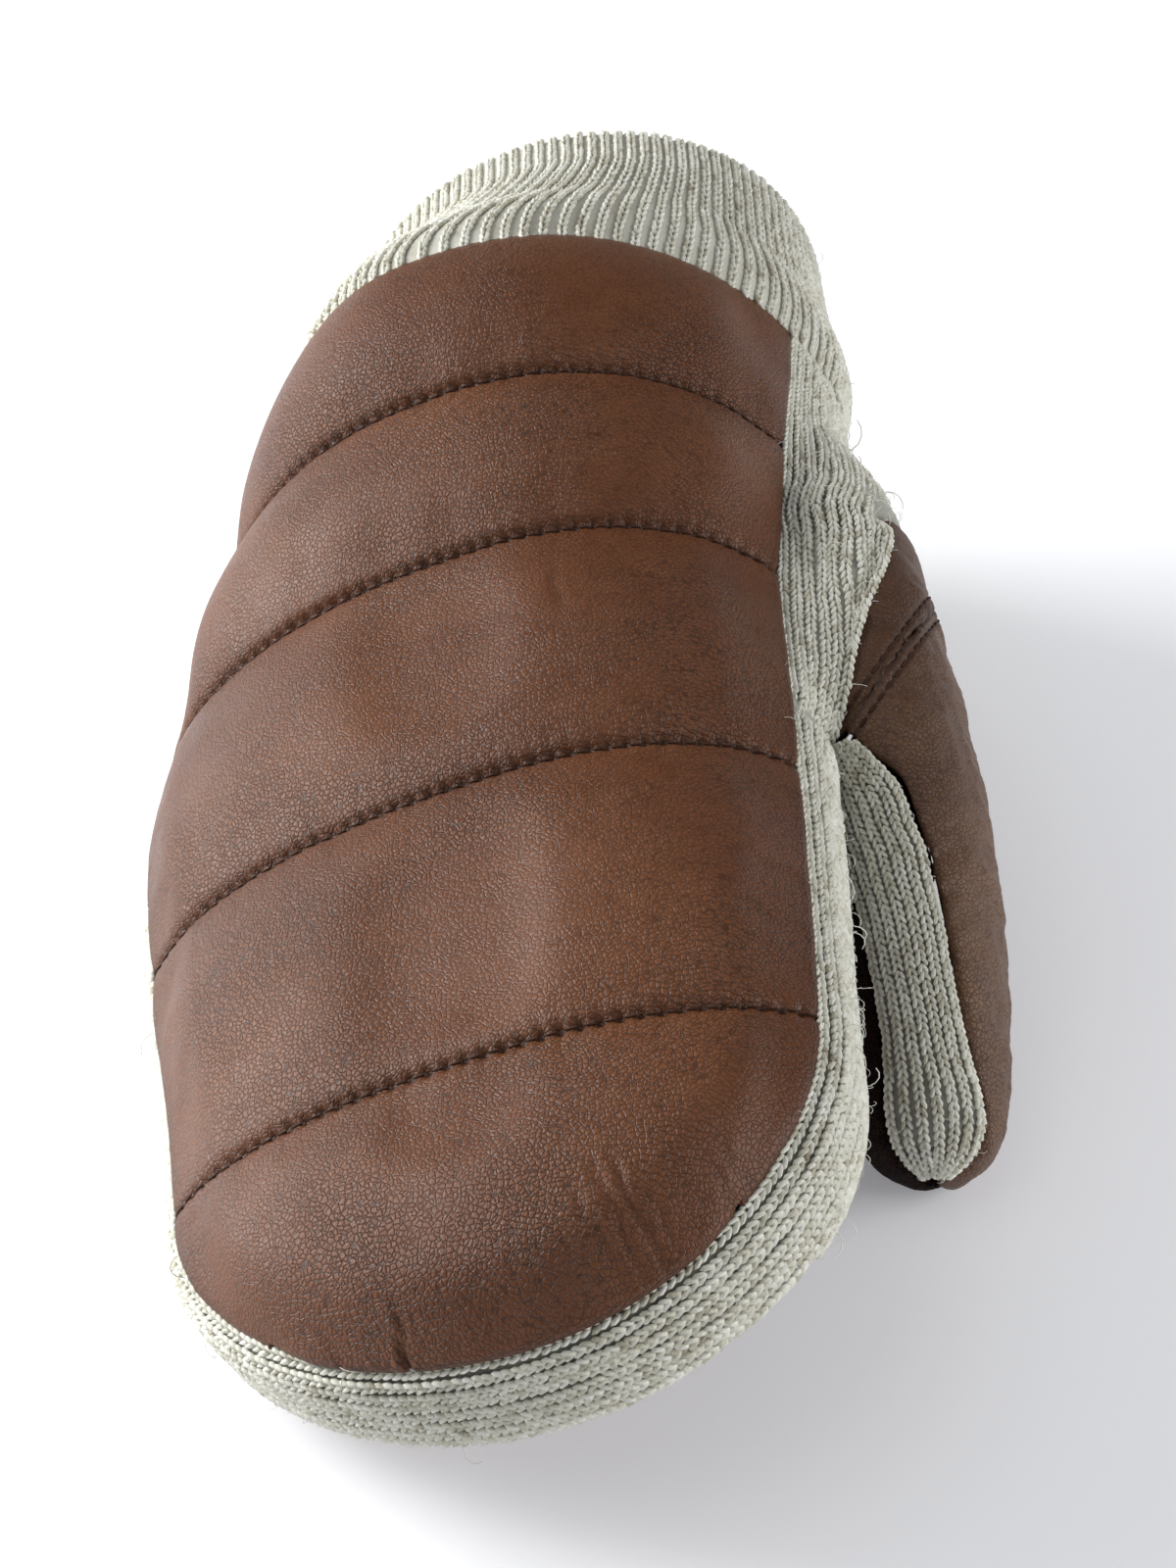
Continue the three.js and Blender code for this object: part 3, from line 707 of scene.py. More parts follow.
def makeBack():
    simP, simRow = acrossList(back["simColumns"]), rowList(back["simRows"], 0.0)
    swollen = swellCloth(simP, simRow)
    p, row = acrossList(back["columns"]), rowList(back["rows"], back["rowCrowd"])
    cover = curve(simRow, np.swapaxes(unplaced(swollen), 0, 1), row)
    cover = curve(simP, np.swapaxes(cover, 0, 1), p)
    skin = backPoint(p[:, None], row[None, :])
    normal, sideways, lengthways = surfaceFrame(cover)
    down, roundAt = lengthAlong(skin, 1), lengthAlong(skin, 0)
    lift = -creaseDepth(skin)
    # painted shade in the creases
    valley = np.clip(lift * -1.1, 0, 0.8)
    gather = soften(np.stack([roundAt, down * 0.25, 0 * down], -1), 9, 3)
    for k in range(1, 5):
        j = int(np.argmin(np.abs(row - k)))
        gap = down - down[:, j:j + 1]
        place = np.broadcast_to(roundAt[:, j:j + 1], gap.shape)
        phase = 2 * math.pi * place / back["stitchPitch"]
        irregular = 1 + 0.5 * gather
        lift -= back["lineSink"] * np.exp(-(gap / 0.8) ** 2)
        fade = np.exp(-np.abs(gap) / 1.5)
        lift += back["pucker"] * irregular * np.cos(phase + math.pi) * fade
        off = np.abs((place / back["stitchPitch"] + 0.5) % 1 - 0.5) * back["stitchPitch"]
        hole = np.exp(-(off**2 + gap**2) / 0.3)
        lift -= back["holeDepth"] * hole
        lift += back["gather"] * gather * np.exp(-np.abs(gap) / 6)
        # painted shade along each seam and in its stitch holes
        valley = np.maximum(valley, 0.7 * np.exp(-(gap / 0.5) ** 2))
        valley = np.maximum(valley, 1.3 * hole)
    nearSide = np.minimum(np.abs(roundAt - roundAt[:1]), np.abs(roundAt - roundAt[-1:]))
    wave = soften(np.stack([nearSide * 0.3, down, 0 * down], -1), 9, 5)
    lift += back["edgeWave"] * wave * np.exp(-nearSide / 6)
    # painted shade along the side edges, where the leather meets the knit
    valley = np.maximum(valley, 0.5 * np.exp(-nearSide / 1.2))
    cover = cover + normal * lift[..., None]

    # fold the edge under, then carry on as the lining
    rings, inner = back["rollRings"], back["innerRings"]
    extra = rings + inner
    nu, nv = len(p) - 1, len(row) - 1
    u = np.arange(-extra, nu + extra + 1)
    v = np.arange(-extra, nv + extra + 1)
    cu, cv = np.clip(u, 0, nu), np.clip(v, 0, nv)
    overU, overV = (u - cu)[:, None], (v - cv)[None, :]
    ring = np.maximum(np.abs(overU), np.abs(overV))
    base = cover[cu][:, cv]
    outward = sideways[cu][:, cv] * overU[..., None] + lengthways[cu][:, cv] * overV[..., None]
    outward = unit(outward)
    angle = np.minimum(ring, rings) / rings * math.radians(back["rollTurn"])
    radius = back["rollRadius"]
    rolled = base + radius * (np.sin(angle)[..., None] * outward
                              - (1 - np.cos(angle))[..., None] * normal[cu][:, cv])
    shrink = np.clip((ring - rings) / inner, 0, 1) * 0.999
    innerP = p[cu][:, None] * (1 - shrink) * 0.985
    innerRow = mix(2.6, row[cv][None, :], (1 - shrink) * 0.99)
    lining = backPoint(innerP, innerRow, back["wall"] + 0.4)
    whole = np.where((ring > rings)[..., None], lining, rolled)
    # painted shade on the rolled-under edge and the lining, darker further in
    dark = np.where(ring > 0, np.minimum(0.4 + 0.12 * ring, 1), valley[cu][:, cv])
    piece = addObject("back_leather_quilted", gridMesh(
        "back_leather_quilted", placed(whole), True, {"valley": dark}))
    faceOutwards(piece.data)
    piece.data.materials.append(backLeather)
    return piece, cover, normal, row, roundAt


def hiddenShape(name, bm):
    # a shape that only its copies show
    piece = addObject(name, meshFrom(bm, name))
    piece.hide_render = True
    return piece


def strandShape(name, around, along):
    # a short rounded strand, 1 mm long and 1 mm thick before it is sized
    bm = bmesh.new()
    bmesh.ops.create_uvsphere(bm, u_segments=around, v_segments=along, radius=0.5 * mm,
                              matrix=Matrix.Rotation(math.pi / 2, 4, "X"))
    return hiddenShape(name, bm)


def framesAlong(points, normals):
    # x across, y along the line, z outwards
    along = unit(np.gradient(points, axis=0))
    across = unit(np.cross(along, normals))
    return np.stack([across, along, unit(np.cross(across, along))], 1)


def resample(points, pitch, offset=0.0):
    # the first three columns are the place, and the others go along with it
    length = lengthAlong(points[:, :3])
    return rowsAt(np.arange(offset, length[-1], pitch), length, points)


def sewQuilting(cover, normal, row, roundAt, shape):
    places, frames = [], []
    for k in range(1, 5):
        j = int(np.argmin(np.abs(row - k)))
        pitch = back["stitchPitch"]
        at = np.arange(pitch / 2, roundAt[-1, j], pitch)
        line = rowsAt(at, roundAt[:, j], cover[:, j])
        outwards = rowsAt(at, roundAt[:, j], normal[:, j])
        spots = placed(line + outwards * 0.12)
        turned = placed(line + outwards) - placed(line)
        places.append(spots)
        frames.append(framesAlong(spots, unit(turned)))
    places, frames = np.concatenate(places), np.concatenate(frames)
    sizes = np.tile((back["thread"], back["stitchLength"], back["thread"] * 0.8), (len(places), 1))
    return scatter("quilting_thread", shape, places, frames, sizes,
                   np.full(len(places), 0.5), thread)


backPiece, cover, coverNormal, coverRow, coverRound = makeBack()
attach(backPiece, "root")
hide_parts("back_leather")
stitch = strandShape("stitch_shape", 8, 6)
quilting = sewQuilting(cover, coverNormal, coverRow, coverRound, stitch)
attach(quilting, "root")
print("padded back ready:", len(backPiece.data.polygons), "faces")


knit = {
    "rib": 2.05,  # mm from one rib to the next
    "stitch": 1.35,  # mm from one stitch to the next along a rib
    "legWidth": 0.9,
    "legLength": 2.15,
    "legHeight": 1.35,
    "legTilt": 22,  # degrees
    "legApart": 0.42,
    "legLift": 0.35,
    "mottle": 0.22,  # how much the tone differs from leg to leg
}


def fibreShape():
    # one stray fibre: a thin three-sided strand bent into an arc
    bm = bmesh.new()
    made = bmesh.ops.create_circle(bm, segments=3, radius=0.04 * mm,
                                   matrix=Matrix.Translation((1.0 * mm, 0, 0)))
    bmesh.ops.spin(bm, geom=made["verts"] + bm.edges[:], cent=(0, 0, 0), axis=(0, 1, 0),
                   angle=math.radians(-130), steps=5, use_merge=False)
    bmesh.ops.translate(bm, verts=bm.verts, vec=(-1.0 * mm, 0, 0))
    return hiddenShape("wool_fibre", bm)


knitLeg = strandShape("knit_leg", 4, 3)  # one leg of a knitted V
woolFibre = fibreShape()


def knitRibs(name, ribs, material, size=1.0):
    # ribs: lists of points with the direction outwards and the direction to the next rib (metres)
    places, frames, tones = [], [], []
    tilt = math.radians(knit["legTilt"])
    for points, outwards, sideways in ribs:
        if len(points) < 4:
            continue
        packed = resample(np.concatenate([points, outwards, sideways], -1),
                          knit["stitch"] * mm * size, chance.uniform(0, knit["stitch"]) * mm)
        if len(packed) < 4:
            continue
        spots = packed[:, :3]
        up, across = unit(packed[:, 3:6]), unit(packed[:, 6:9])
        along = unit(np.gradient(spots, axis=0))
        across = unit(across - along * (across * along).sum(-1, keepdims=True))
        square = unit(np.cross(across, along))
        up = square * np.sign((square * up).sum(-1, keepdims=True))
        for side in (-1, 1):
            lean = unit(along * math.cos(tilt) + across * side * math.sin(tilt))
            apart = knit["legApart"] * mm * size * side
            jitter = chance.normal(0, 0.05 * mm, (len(spots), 3))
            places.append(spots + across * apart + up * knit["legLift"] * mm + jitter)
            frames.append(np.stack([unit(np.cross(lean, up)), lean, up], 1))
            tones.append(np.clip(chance.normal(0.5, knit["mottle"], len(spots)), 0, 1))
    places, frames, tones = (np.concatenate(part) for part in (places, frames, tones))
    sizes = np.tile(np.array([knit["legWidth"], knit["legLength"], knit["legHeight"]]) * size,
                    (len(places), 1)) * chance.uniform(0.9, 1.1, (len(places), 1))
    places[:, 2] = np.maximum(places[:, 2], 0.6 * mm)
    return scatter(name, knitLeg, places, frames, sizes, tones, material), places, frames


def strayFibres(name, places, frames, count, longest):
    thumbSide = np.where(places[:, 0] > 0.03, 4.0, 1.0)  # more of them there
    pick = chance.choice(len(places), count, p=thumbSide / thumbSide.sum())
    turned = []
    for k in pick:
        up = frames[k][2]
        swing = Vector(chance.normal(0, 1, 3))
        side = Vector(up).cross(swing).normalized()
        turned.append(np.array([side.cross(Vector(up)).normalized(), side, up]))
    long = np.abs(chance.normal(0, 0.45, count)) * longest + 0.35
    sizes = np.stack([long * chance.uniform(0.6, 1.4, count), np.ones(count), long], -1)
    spots = places[pick] + chance.normal(0, 0.3 * mm, (count, 3))
    return scatter(name, woolFibre, spots, np.array(turned), sizes,
                   chance.uniform(0.5, 1, count), wool)


gusset = {
    "sideSteps": 130,
    "tipSteps": 120,
    "profileSteps": 30,
    "firstRib": 1.15,  # mm from the leather's edge to the middle of the first rib
    "reach": 30,
    "deepest": 0.8,  # how far below the skin the knit may lie
    "evenAlong": 14,  # rounds of evening out, along the ribs and across them
    "evenAcross": 3,
    "edgeGap": 0.7,  # from the last rib to the knit's edge
    "longestFibre": 2.0,
    "rootPlaces": (98, 112, 126, 150, 158),
    "rootEdges": (-26, -12, 4, 7, 6),
    "rootFade": 16,
    "rootSeam": (  # where the knit ends on the root of the thumb: x, y, z
        (49.7, 118.0, 15.6), (53.6, 124.3, 19.3), (56.7, 131.5, 21.8), (59.6, 139.1, 22.6),
        (63.1, 147.2, 22.8), (65.0, 158.3, 21.6)),
    "rootLook": (0.62, 0.0, 0.78),  # the knit on the root is found from this side
    "allowance": (  # degrees past the leather's edge and depth under the skin, all round
        (-5, 1.9), (-2, 2.0), (1, 2.6), (3.5, 3.6), (3.5, 4.0), (1, 3.4), (-2, 2.8), (-5, 2.7),
        (-5, 1.9)),
    "fibres": 750,
}


def lowerAngle(side, y):
    places, edges = gusset["rootPlaces"], gusset["rootEdges"]
    fade = gusset["rootFade"]
    share = ease(places[0] - fade, places[0], y) * (1 - ease(places[-1], places[-1] + fade, y))
    edge = curve(places, edges, np.clip(y, places[0], places[-1]))
    return np.where(side > 0, mix(hand["palmEdge"], edge, share), hand["palmEdge"])


def ringStations():
    # from the cuff down the thumb side, round the fingertips and back up
    n, m = gusset["sideSteps"], gusset["tipSteps"]
    ys = np.linspace(hand["cuffSeam"], hand["tipReach"], n + 1)
    turns = np.linspace(90, -90, m + 1)[1:-1]
    side = np.concatenate([np.ones(n + 1), np.zeros(m - 1), -np.ones(n + 1)])
    y = np.concatenate([ys, np.full(m - 1, hand["tipReach"]), ys[::-1]])
    turn = np.concatenate([np.full(n + 1, 90), turns, np.full(n + 1, -90)])
    return side, y, np.radians(turn)


def ringPoint(side, y, turn, angle, inset):
    lower = angle < 0
    power = np.where(lower, hand["palmPower"], hand["crownPower"])
    share = np.abs(np.cos(np.radians(angle))) ** (2 / power)
    k = (np.abs(np.sin(turn)) ** hand["tipPower"]
         + np.abs(np.cos(turn)) ** hand["tipPower"]) ** (-1 / hand["tipPower"])
    across = np.where(side == 0, np.sin(turn) * k, side) * share
    tip = np.where(side == 0, np.cos(turn) * k * share, 0)
    return handSkin(across, y, tip, share, lower, inset)


def evened(values, rounds, axis=0):
    # neighbours averaged along one axis, ends kept
    values = np.moveaxis(np.array(values, float), axis, 0)
    for _ in range(rounds):
        values[1:-1] = (values[:-2] + 2 * values[1:-1] + values[2:]) / 4
    return np.moveaxis(values, 0, axis)


def withoutSpikes(values, axis):
    values = np.moveaxis(np.array(values, float), axis, 0)
    near = np.stack([values[:-4], values[1:-3], values[2:-2], values[3:-1], values[4:]])
    values[2:-2] = np.median(near, axis=0)
    return np.moveaxis(values, 0, axis)


def castOn(tree, starts, ends, longest=0.08):
    # where each line from its start towards its end first meets the surface
    spots, ways = np.zeros_like(starts), np.zeros_like(starts)
    found = np.zeros(starts.shape[:-1], bool)
    for index in np.ndindex(starts.shape[:-1]):
        a = Vector(starts[index])
        way = (Vector(ends[index]) - a).normalized()
        spot, normal = tree.ray_cast(a, way, longest)[:2]
        found[index] = spot is not None
        if spot is None:
            spot, normal = tree.find_nearest(Vector(ends[index]))[:2]
        spots[index], ways[index] = spot, normal
    return spots, ways, found


def gussetRibs(tree):
    side, y, turn = ringStations()
    edge = mix(hand["edgeOnTip"], hand["edgeOnSides"], np.sin(turn) ** 2) - hand["seamTurn"] + 0.6
    low = lowerAngle(side, y)
    share = np.linspace(0, 1, gusset["profileSteps"] + 1)[None, :]
    angle = mix(edge[:, None], low[:, None], share)
    args = (side[:, None], y[:, None], turn[:, None], angle)
    outer = ringPoint(*args, -gusset["reach"])
    skin = ringPoint(*args, 0.0)
    seam = np.array(gusset["rootSeam"])
    far = y + hand["seamBow"]
    onRoot = (side > 0) * ease(seam[0, 1] - 9, seam[0, 1], far)
    onRoot *= 1 - ease(seam[-1, 1] - 4, seam[-1, 1] + 13, far)
    end = curve(seam[:, 1], seam, np.clip(far, seam[0, 1], seam[-1, 1]))
    across = mix(skin[:, :1], end[:, None], share[..., None])
    look = np.array(gusset["rootLook"]) * gusset["reach"]
    outer = mix(outer, across + look, onRoot[:, None, None])
    skin = mix(skin, across, onRoot[:, None, None])
    outer, skin = placed(outer, anyDepth), placed(skin, anyDepth)
    spots = castOn(tree, outer, skin)[0]
    reach = np.linalg.norm(spots - outer, axis=-1)
    reach = np.minimum(reach, (gusset["reach"] + gusset["deepest"]) * mm)
    reach = withoutSpikes(withoutSpikes(reach, 0), 1)
    reach = evened(evened(reach, gusset["evenAlong"], 0), gusset["evenAcross"], 1)
    spots = outer + unit(skin - outer) * reach[..., None]
    ways = unit(np.cross(np.gradient(spots, axis=0), np.gradient(spots, axis=1)))
    ways *= np.sign((ways * (outer - skin)).sum(-1, keepdims=True))
    depth = lengthAlong(spots, 1) / mm
    sideways = unit(np.gradient(spots, axis=1))
    packed = np.concatenate([spots, ways, sideways], -1)
    most = int(depth[:, -1].max() / knit["rib"]) + 1
    ribs = []
    roundAt = lengthAlong(spots[:, 0]) / mm
    for rib in range(most):
        sway = soften(np.stack([roundAt, 0 * roundAt + rib * 9, 0 * roundAt], -1), 16, rib)
        sway *= min(rib, 3) * 0.15
        at = gusset["firstRib"] + rib * knit["rib"] + sway
        held = at < depth[:, -1] - gusset["edgeGap"]
        line = np.zeros((len(side), 9))
        for i, c in np.ndindex(line.shape):
            line[i, c] = np.interp(at[i], depth[i], packed[i, :, c])
        breaks = np.flatnonzero(np.diff(held.astype(int))) + 1
        for part in np.split(np.arange(len(side)), breaks):
            if held[part[0]] and len(part) > 3:
                ribs.append((line[part, :3], unit(line[part, 3:6]), line[part, 6:]))
    rows = np.flatnonzero(onRoot > 0.5)  # one more rib along the seam
    ribs.append((spots[rows, -2], ways[rows, -2], sideways[rows, -2]))
    return ribs, spots[onRoot > 0.97], ways[onRoot > 0.97]


def rootLayer(spots, ways):
    # wool under the ribs where they lie on the root of the thumb
    top = spots + ways * 0.15 * mm
    below = spots - ways * 1.1 * mm
    below[0], below[-1] = top[0], top[-1]
    shell = np.concatenate([top, below[:, ::-1], top[:, :1]], axis=1)
    mesh = gridMesh("root_layer", shell, True, {"tone": np.full(shell.shape[:2], 0.4)})
    faceOutwards(mesh)
    # painted deep shade under the ribs
    mesh.materials.append(woolInDeepShade)
    return addObject("root_layer", mesh)


def seamAllowance():
    # the knit's edge, turned in under the leather
    side, y, turn = ringStations()
    edge = mix(hand["edgeOnTip"], hand["edgeOnSides"], np.sin(turn) ** 2) - hand["seamTurn"]
    profile = gusset["allowance"]
    angle = edge[:, None] + np.array([row[0] for row in profile])[None, :]
    inset = np.broadcast_to(np.array([row[1] for row in profile])[None, :], angle.shape)
    shell = ringPoint(side[:, None], y[:, None], turn[:, None], angle, inset)
    middle = shell.mean(axis=1, keepdims=True)
    shell[:1], shell[-1:] = middle[:1], middle[-1:]
    mesh = gridMesh("seam_allowance", placed(shell, 0.4), True,
                    {"tone": np.full(angle.shape, 0.4)})
    faceOutwards(mesh)
    # painted deep shade under the leather's edge
    mesh.materials.append(woolInDeepShade)
    return addObject("seam_allowance", mesh)


def makeGusset():
    base = softCopy("side_gusset_knit", "side_gusset", 1.5, 5)
    tree = treeOf(base, palmPiece)
    addAttribute(base.data, "tone", np.full(len(base.data.vertices), 0.4))
    writePoints(base.data, readPoints(base.data) - normalsOf(base.data) * 0.35 * mm)
    # the base under the ribs carries painted deep shade
    base.data.materials.append(woolInDeepShade)
    ribs, rootSpots, rootWays = gussetRibs(tree)
    legs, places, frames = knitRibs("gusset_ribs", ribs, wool)
    fuzz = strayFibres("gusset_fuzz", places, frames, gusset["fibres"],
                       gusset["longestFibre"])
    print("gusset", len(base.data.polygons), len(legs.data.polygons), len(fuzz.data.polygons))
    return joined(base, rootLayer(rootSpots, rootWays), seamAllowance(), legs, fuzz)


palm = {"copy": (1.1, 10), "folds": (16, 0.5)}
palmPiece = softCopy("palm_leather_soft", "palm_leather", *palm["copy"])
gussetPiece = makeGusset()
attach(gussetPiece, "root")
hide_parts("side_gusset")
print("side gusset ready")


cuff = {
    "length": 28.5,
    "mixLength": 20,  # over this length the hand's section turns round
    "x": 18.6,
    "halfWidth": 42.8,
    "top": 71.2,
    "bottom": -1,
    "bulge": 1.7,
    "wall": 3.4,
    "ribs": 116,
    "outerSteps": 30,
    "innerLength": 4,
    "gap": 0.2,
    "fibres": 600,
}


def cuffPoint(turn, v, inset):
    # turn goes round from the thumb side over the back, v from the seam to the rim
    turn, v, inset = np.broadcast_arrays(turn, v, inset)
    sine, cosine = np.sin(turn), np.cos(turn)
    lower = sine < 0
    power = np.where(lower, hand["palmPower"], hand["crownPower"])
    share = np.abs(cosine) ** (2 / power)
    out = cuff["bulge"] * np.sin(math.pi * np.clip(v * 2.6, 0, 1))
    deep = inset - out
    side = np.where(cosine >= 0, 1.0, -1.0)
    start = handSkin(side * share, np.full(turn.shape, float(hand["cuffSeam"])), 0 * turn, share,
                     lower, deep)
    half = (cuff["top"] - cuff["bottom"]) / 2
    ringX = cuff["x"] + (cuff["halfWidth"] - deep) * cosine
    ringZ = cuff["bottom"] + half + (half - deep) * sine
    reach = cuff["gap"] + v * cuff["length"]
    share = ease(0, cuff["mixLength"], reach)
    y = mix(start[..., 1], hand["cuffSeam"] + hand["seamBow"], share) + reach
    return np.stack([mix(start[..., 0], ringX, share), y, mix(start[..., 2], ringZ, share)], -1)


def cuffProfile(steps):
    # outside from the seam to the rim, over the fold, and back inside: v and inset
    half = cuff["wall"] / 2
    v = np.linspace(-0.045, 1, steps)
    inset = np.zeros(steps)
    fold = np.linspace(0, math.pi, 9)[1:]
    v = np.concatenate([v, 1 + np.sin(fold) * half / cuff["length"]])
    inset = np.concatenate([inset, half - half * np.cos(fold)])
    inside = np.linspace(1, 0.0, steps // 2)[1:]
    v = np.concatenate([v, inside])
    return v, np.concatenate([inset, np.full(len(inside), cuff["wall"])])


def makeCuff():
    v, inset = cuffProfile(cuff["outerSteps"])
    around = np.linspace(0, 2 * math.pi, cuff["ribs"] * 3 + 1)
    rib = 0.28 * (np.cos(around * cuff["ribs"]) - 1)
    turnGrid, vGrid = np.meshgrid(around, np.append(v, v[0]), indexing="ij")
    insetGrid = np.broadcast_to(np.append(inset, inset[0]), turnGrid.shape)
    sign = np.where(insetGrid > cuff["wall"] / 2, 1.0, -1.0)
    shell = cuffPoint(turnGrid, vGrid, insetGrid + sign * (rib[:, None] * 0.5 + 0.15))
    mesh = gridMesh("cuff_knit_tube", placed(shell, 0.4), True,
                    {"tone": np.full(turnGrid.shape, 0.45)})
    faceOutwards(mesh)
    base = addObject("cuff_knit_tube", mesh)
    # the cuff's base between the ribs carries painted shade
    base.data.materials.append(woolInShade)
    ribs = []
    shown = inset <= cuff["wall"] + 1e-6
    shown &= ~((inset > cuff["wall"] - 1e-6) & (v < 1 - cuff["innerLength"] / cuff["length"]))
    for k in range(cuff["ribs"]):
        turn = 2 * math.pi * (k + 0.5) / cuff["ribs"]
        line = cuffPoint(np.full(shown.sum(), turn), v[shown], inset[shown])
        beside = cuffPoint(np.full(shown.sum(), turn + 0.02), v[shown], inset[shown])
        along = unit(np.gradient(line, axis=0))
        outwards = np.cross(unit(beside - line), along)
        if outwards[2] @ np.array([math.cos(turn), 0, math.sin(turn)]) < 0:
            outwards = -outwards
        spots = placed(line, 0.6)
        ribs.append((spots, unit(placed(line + outwards, anyDepth) - placed(line, anyDepth)),
                     unit(placed(beside, anyDepth) - placed(line, anyDepth))))
    legs, places, frames = knitRibs("cuff_ribs", ribs, wool, 0.92)
    fuzz = strayFibres("cuff_fuzz", places, frames, cuff["fibres"], 0.9)
    print("cuff", len(base.data.polygons), len(legs.data.polygons), len(fuzz.data.polygons))
    return joined(base, legs, fuzz)


cuffPiece = makeCuff()
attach(cuffPiece, "root")
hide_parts("cuff_knit")
print("cuff ready")


thumb = {
    "shares": (0, 0.2, 0.4, 0.6, 0.8, 1),
    "x": (47, 51.5, 54, 54.2, 52, 47.8),
    "y": (192, 168, 142, 118, 96, 76),
    "z": (21.0, 17.0, 10.0, -1.0, -11.5, -21.0),
    "ribs": 7,
    "from": 0.5,
    "steps": 60,
    "evenRounds": 6,
    "capLeans": (4, 84, 22),  # degrees, for the rays over the thumb's end
    "castTurns": (-10, 190, 1.5),  # degrees round the thumb
    "castFrom": 26,
    "castReach": 18,
    "seamPoint": (56, 118, 20.0),
    "seamNormal": (0.62, -0.42, -0.66),
    "rows": (1.5, -1.7),  # rows of stitches on both sides of the seam
    "seamDraw": 0.8,
    "strip": (0.9, 6),  # grid size in mm and rounds of smoothing for each soft copy
    "outer": (0.8, 8),
    "inner": (0.9, 8),
    "outerFolds": (15, 0.6),  # size and depth in mm
    "innerFolds": (12, 0.4),
    "stitchPitch": 2.6,
    "stitchLength": 1.9,
    "fibres": 260,
}


def thumbMiddle(share):
    return np.stack([curve(thumb["shares"], thumb[c], share) for c in "xyz"], -1)


def thumbRibs(tree):
    shares = np.linspace(thumb["from"], 1, thumb["steps"])
    middles = thumbMiddle(shares)
    ahead = unit(np.gradient(middles, axis=0))
    lean = np.zeros(len(shares))
    capLean = np.radians(np.linspace(*thumb["capLeans"]))
    middles = np.concatenate([middles, np.repeat(middles[-1:], len(capLean), 0)])
    ahead = np.concatenate([ahead, np.repeat(ahead[-1:], len(capLean), 0)])
    lean = np.concatenate([lean, capLean])
    outwards = np.array([1.0, 0, 0]) - ahead * ahead[:, :1]
    outwards = unit(outwards)
    upwards = np.cross(outwards, ahead)
    upwards *= np.sign(upwards[:, 2:3])
    turns = np.radians(np.arange(*thumb["castTurns"]))
    lines = []
    for i in range(len(middles)):
        ring = outwards[i] * np.cos(turns)[:, None] + upwards[i] * np.sin(turns)[:, None]
        ring = ring * math.cos(lean[i]) + ahead[i] * math.sin(lean[i])
        starts = placed(middles[i] + ring * thumb["castFrom"], anyDepth)
        ends = placed(np.broadcast_to(middles[i], ring.shape), anyDepth)
        spots, ways, found = castOn(tree, starts, ends, thumb["castReach"] * mm)
        if found.sum() < 4:
            continue
        spots, ways = spots[found], ways[found]
        length = lengthAlong(spots)
        if length[-1] < 3 * mm:
            continue
        at = (np.arange(thumb["ribs"]) + 0.5) / thumb["ribs"] * length[-1]
        across = unit(np.gradient(spots, axis=0))
        packed = np.concatenate([spots, ways, across], -1)
        lines.append(rowsAt(at, length, packed))
    lines = evened(lines, thumb["evenRounds"])
    return [(lines[:, k, :3], lines[:, k, 3:6], lines[:, k, 6:]) for k in range(thumb["ribs"])]


def wrinkled(piece, size, deep, seed):
    # soft folds and dents in a leather piece, drawn out along its length, with painted shade in
    # the dents
    points, normals = readPoints(piece.data), normalsOf(piece.data)
    own = unplaced(points)
    own[:, 1] *= 1.8
    lift = soften(own, size, seed, 4) * deep
    writePoints(piece.data, points + normals * lift[:, None] * mm)
    # painted shade in the dents
    addAttribute(piece.data, "valley", np.clip(-lift * 0.35, 0, 0.4))


def seamPlane(shift=0.0):
    # a point on the plane of the set-in seam, or beside it, and the way across it
    across = np.array(thumb["seamNormal"])
    point = np.array(thumb["seamPoint"]) + across * shift
    spot = placed(point, anyDepth)
    return spot, unit(placed(point + across, anyDepth) - spot)


def seamStitches(name, piece, shift, shape):
    # stitches where a plane beside the set-in seam cuts the leather
    spot, way = seamPlane(shift)
    middle = placed(thumbMiddle(np.array(0.5)), anyDepth)
    bm = bmesh.new()
    bm.from_mesh(piece.data)
    cut = bmesh.ops.bisect_plane(bm, geom=bm.verts[:] + bm.edges[:] + bm.faces[:], dist=1e-7,
                                 plane_co=spot, plane_no=way)["geom_cut"]
    bm.normal_update()
    points = np.array([(*e.co, *e.normal) for e in cut if isinstance(e, bmesh.types.BMVert)])
    bm.free()
    points = points[np.linalg.norm(points[:, :3] - middle, axis=1) < 0.06]
    away = points[:, :3] - middle
    away -= way * (away @ way)[:, None]
    outer = (points[:, 3:] * unit(away)).sum(-1) > 0.35
    points, away = points[outer], away[outer]
    right = unit(np.cross(way, [0, 0, 1.0]))
    angle = np.arctan2(away @ np.cross(way, right), away @ right)
    order = np.argsort(angle)
    points, angle = points[order], angle[order]
    start = int(np.argmax(np.diff(np.append(angle, angle[0] + 2 * math.pi)))) + 1
    points = np.roll(points, -start, axis=0)
    points = evened(points, 8)
    packed = resample(points, thumb["stitchPitch"] * mm, 0.5 * mm)
    places, outwards = packed[:, :3], unit(packed[:, 3:])
    sizes = np.tile((0.48, thumb["stitchLength"], 0.4), (len(places), 1))
    return scatter(name, shape, places + outwards * 0.08 * mm,
                   framesAlong(places, outwards), sizes, np.full(len(places), 0.5), thread)


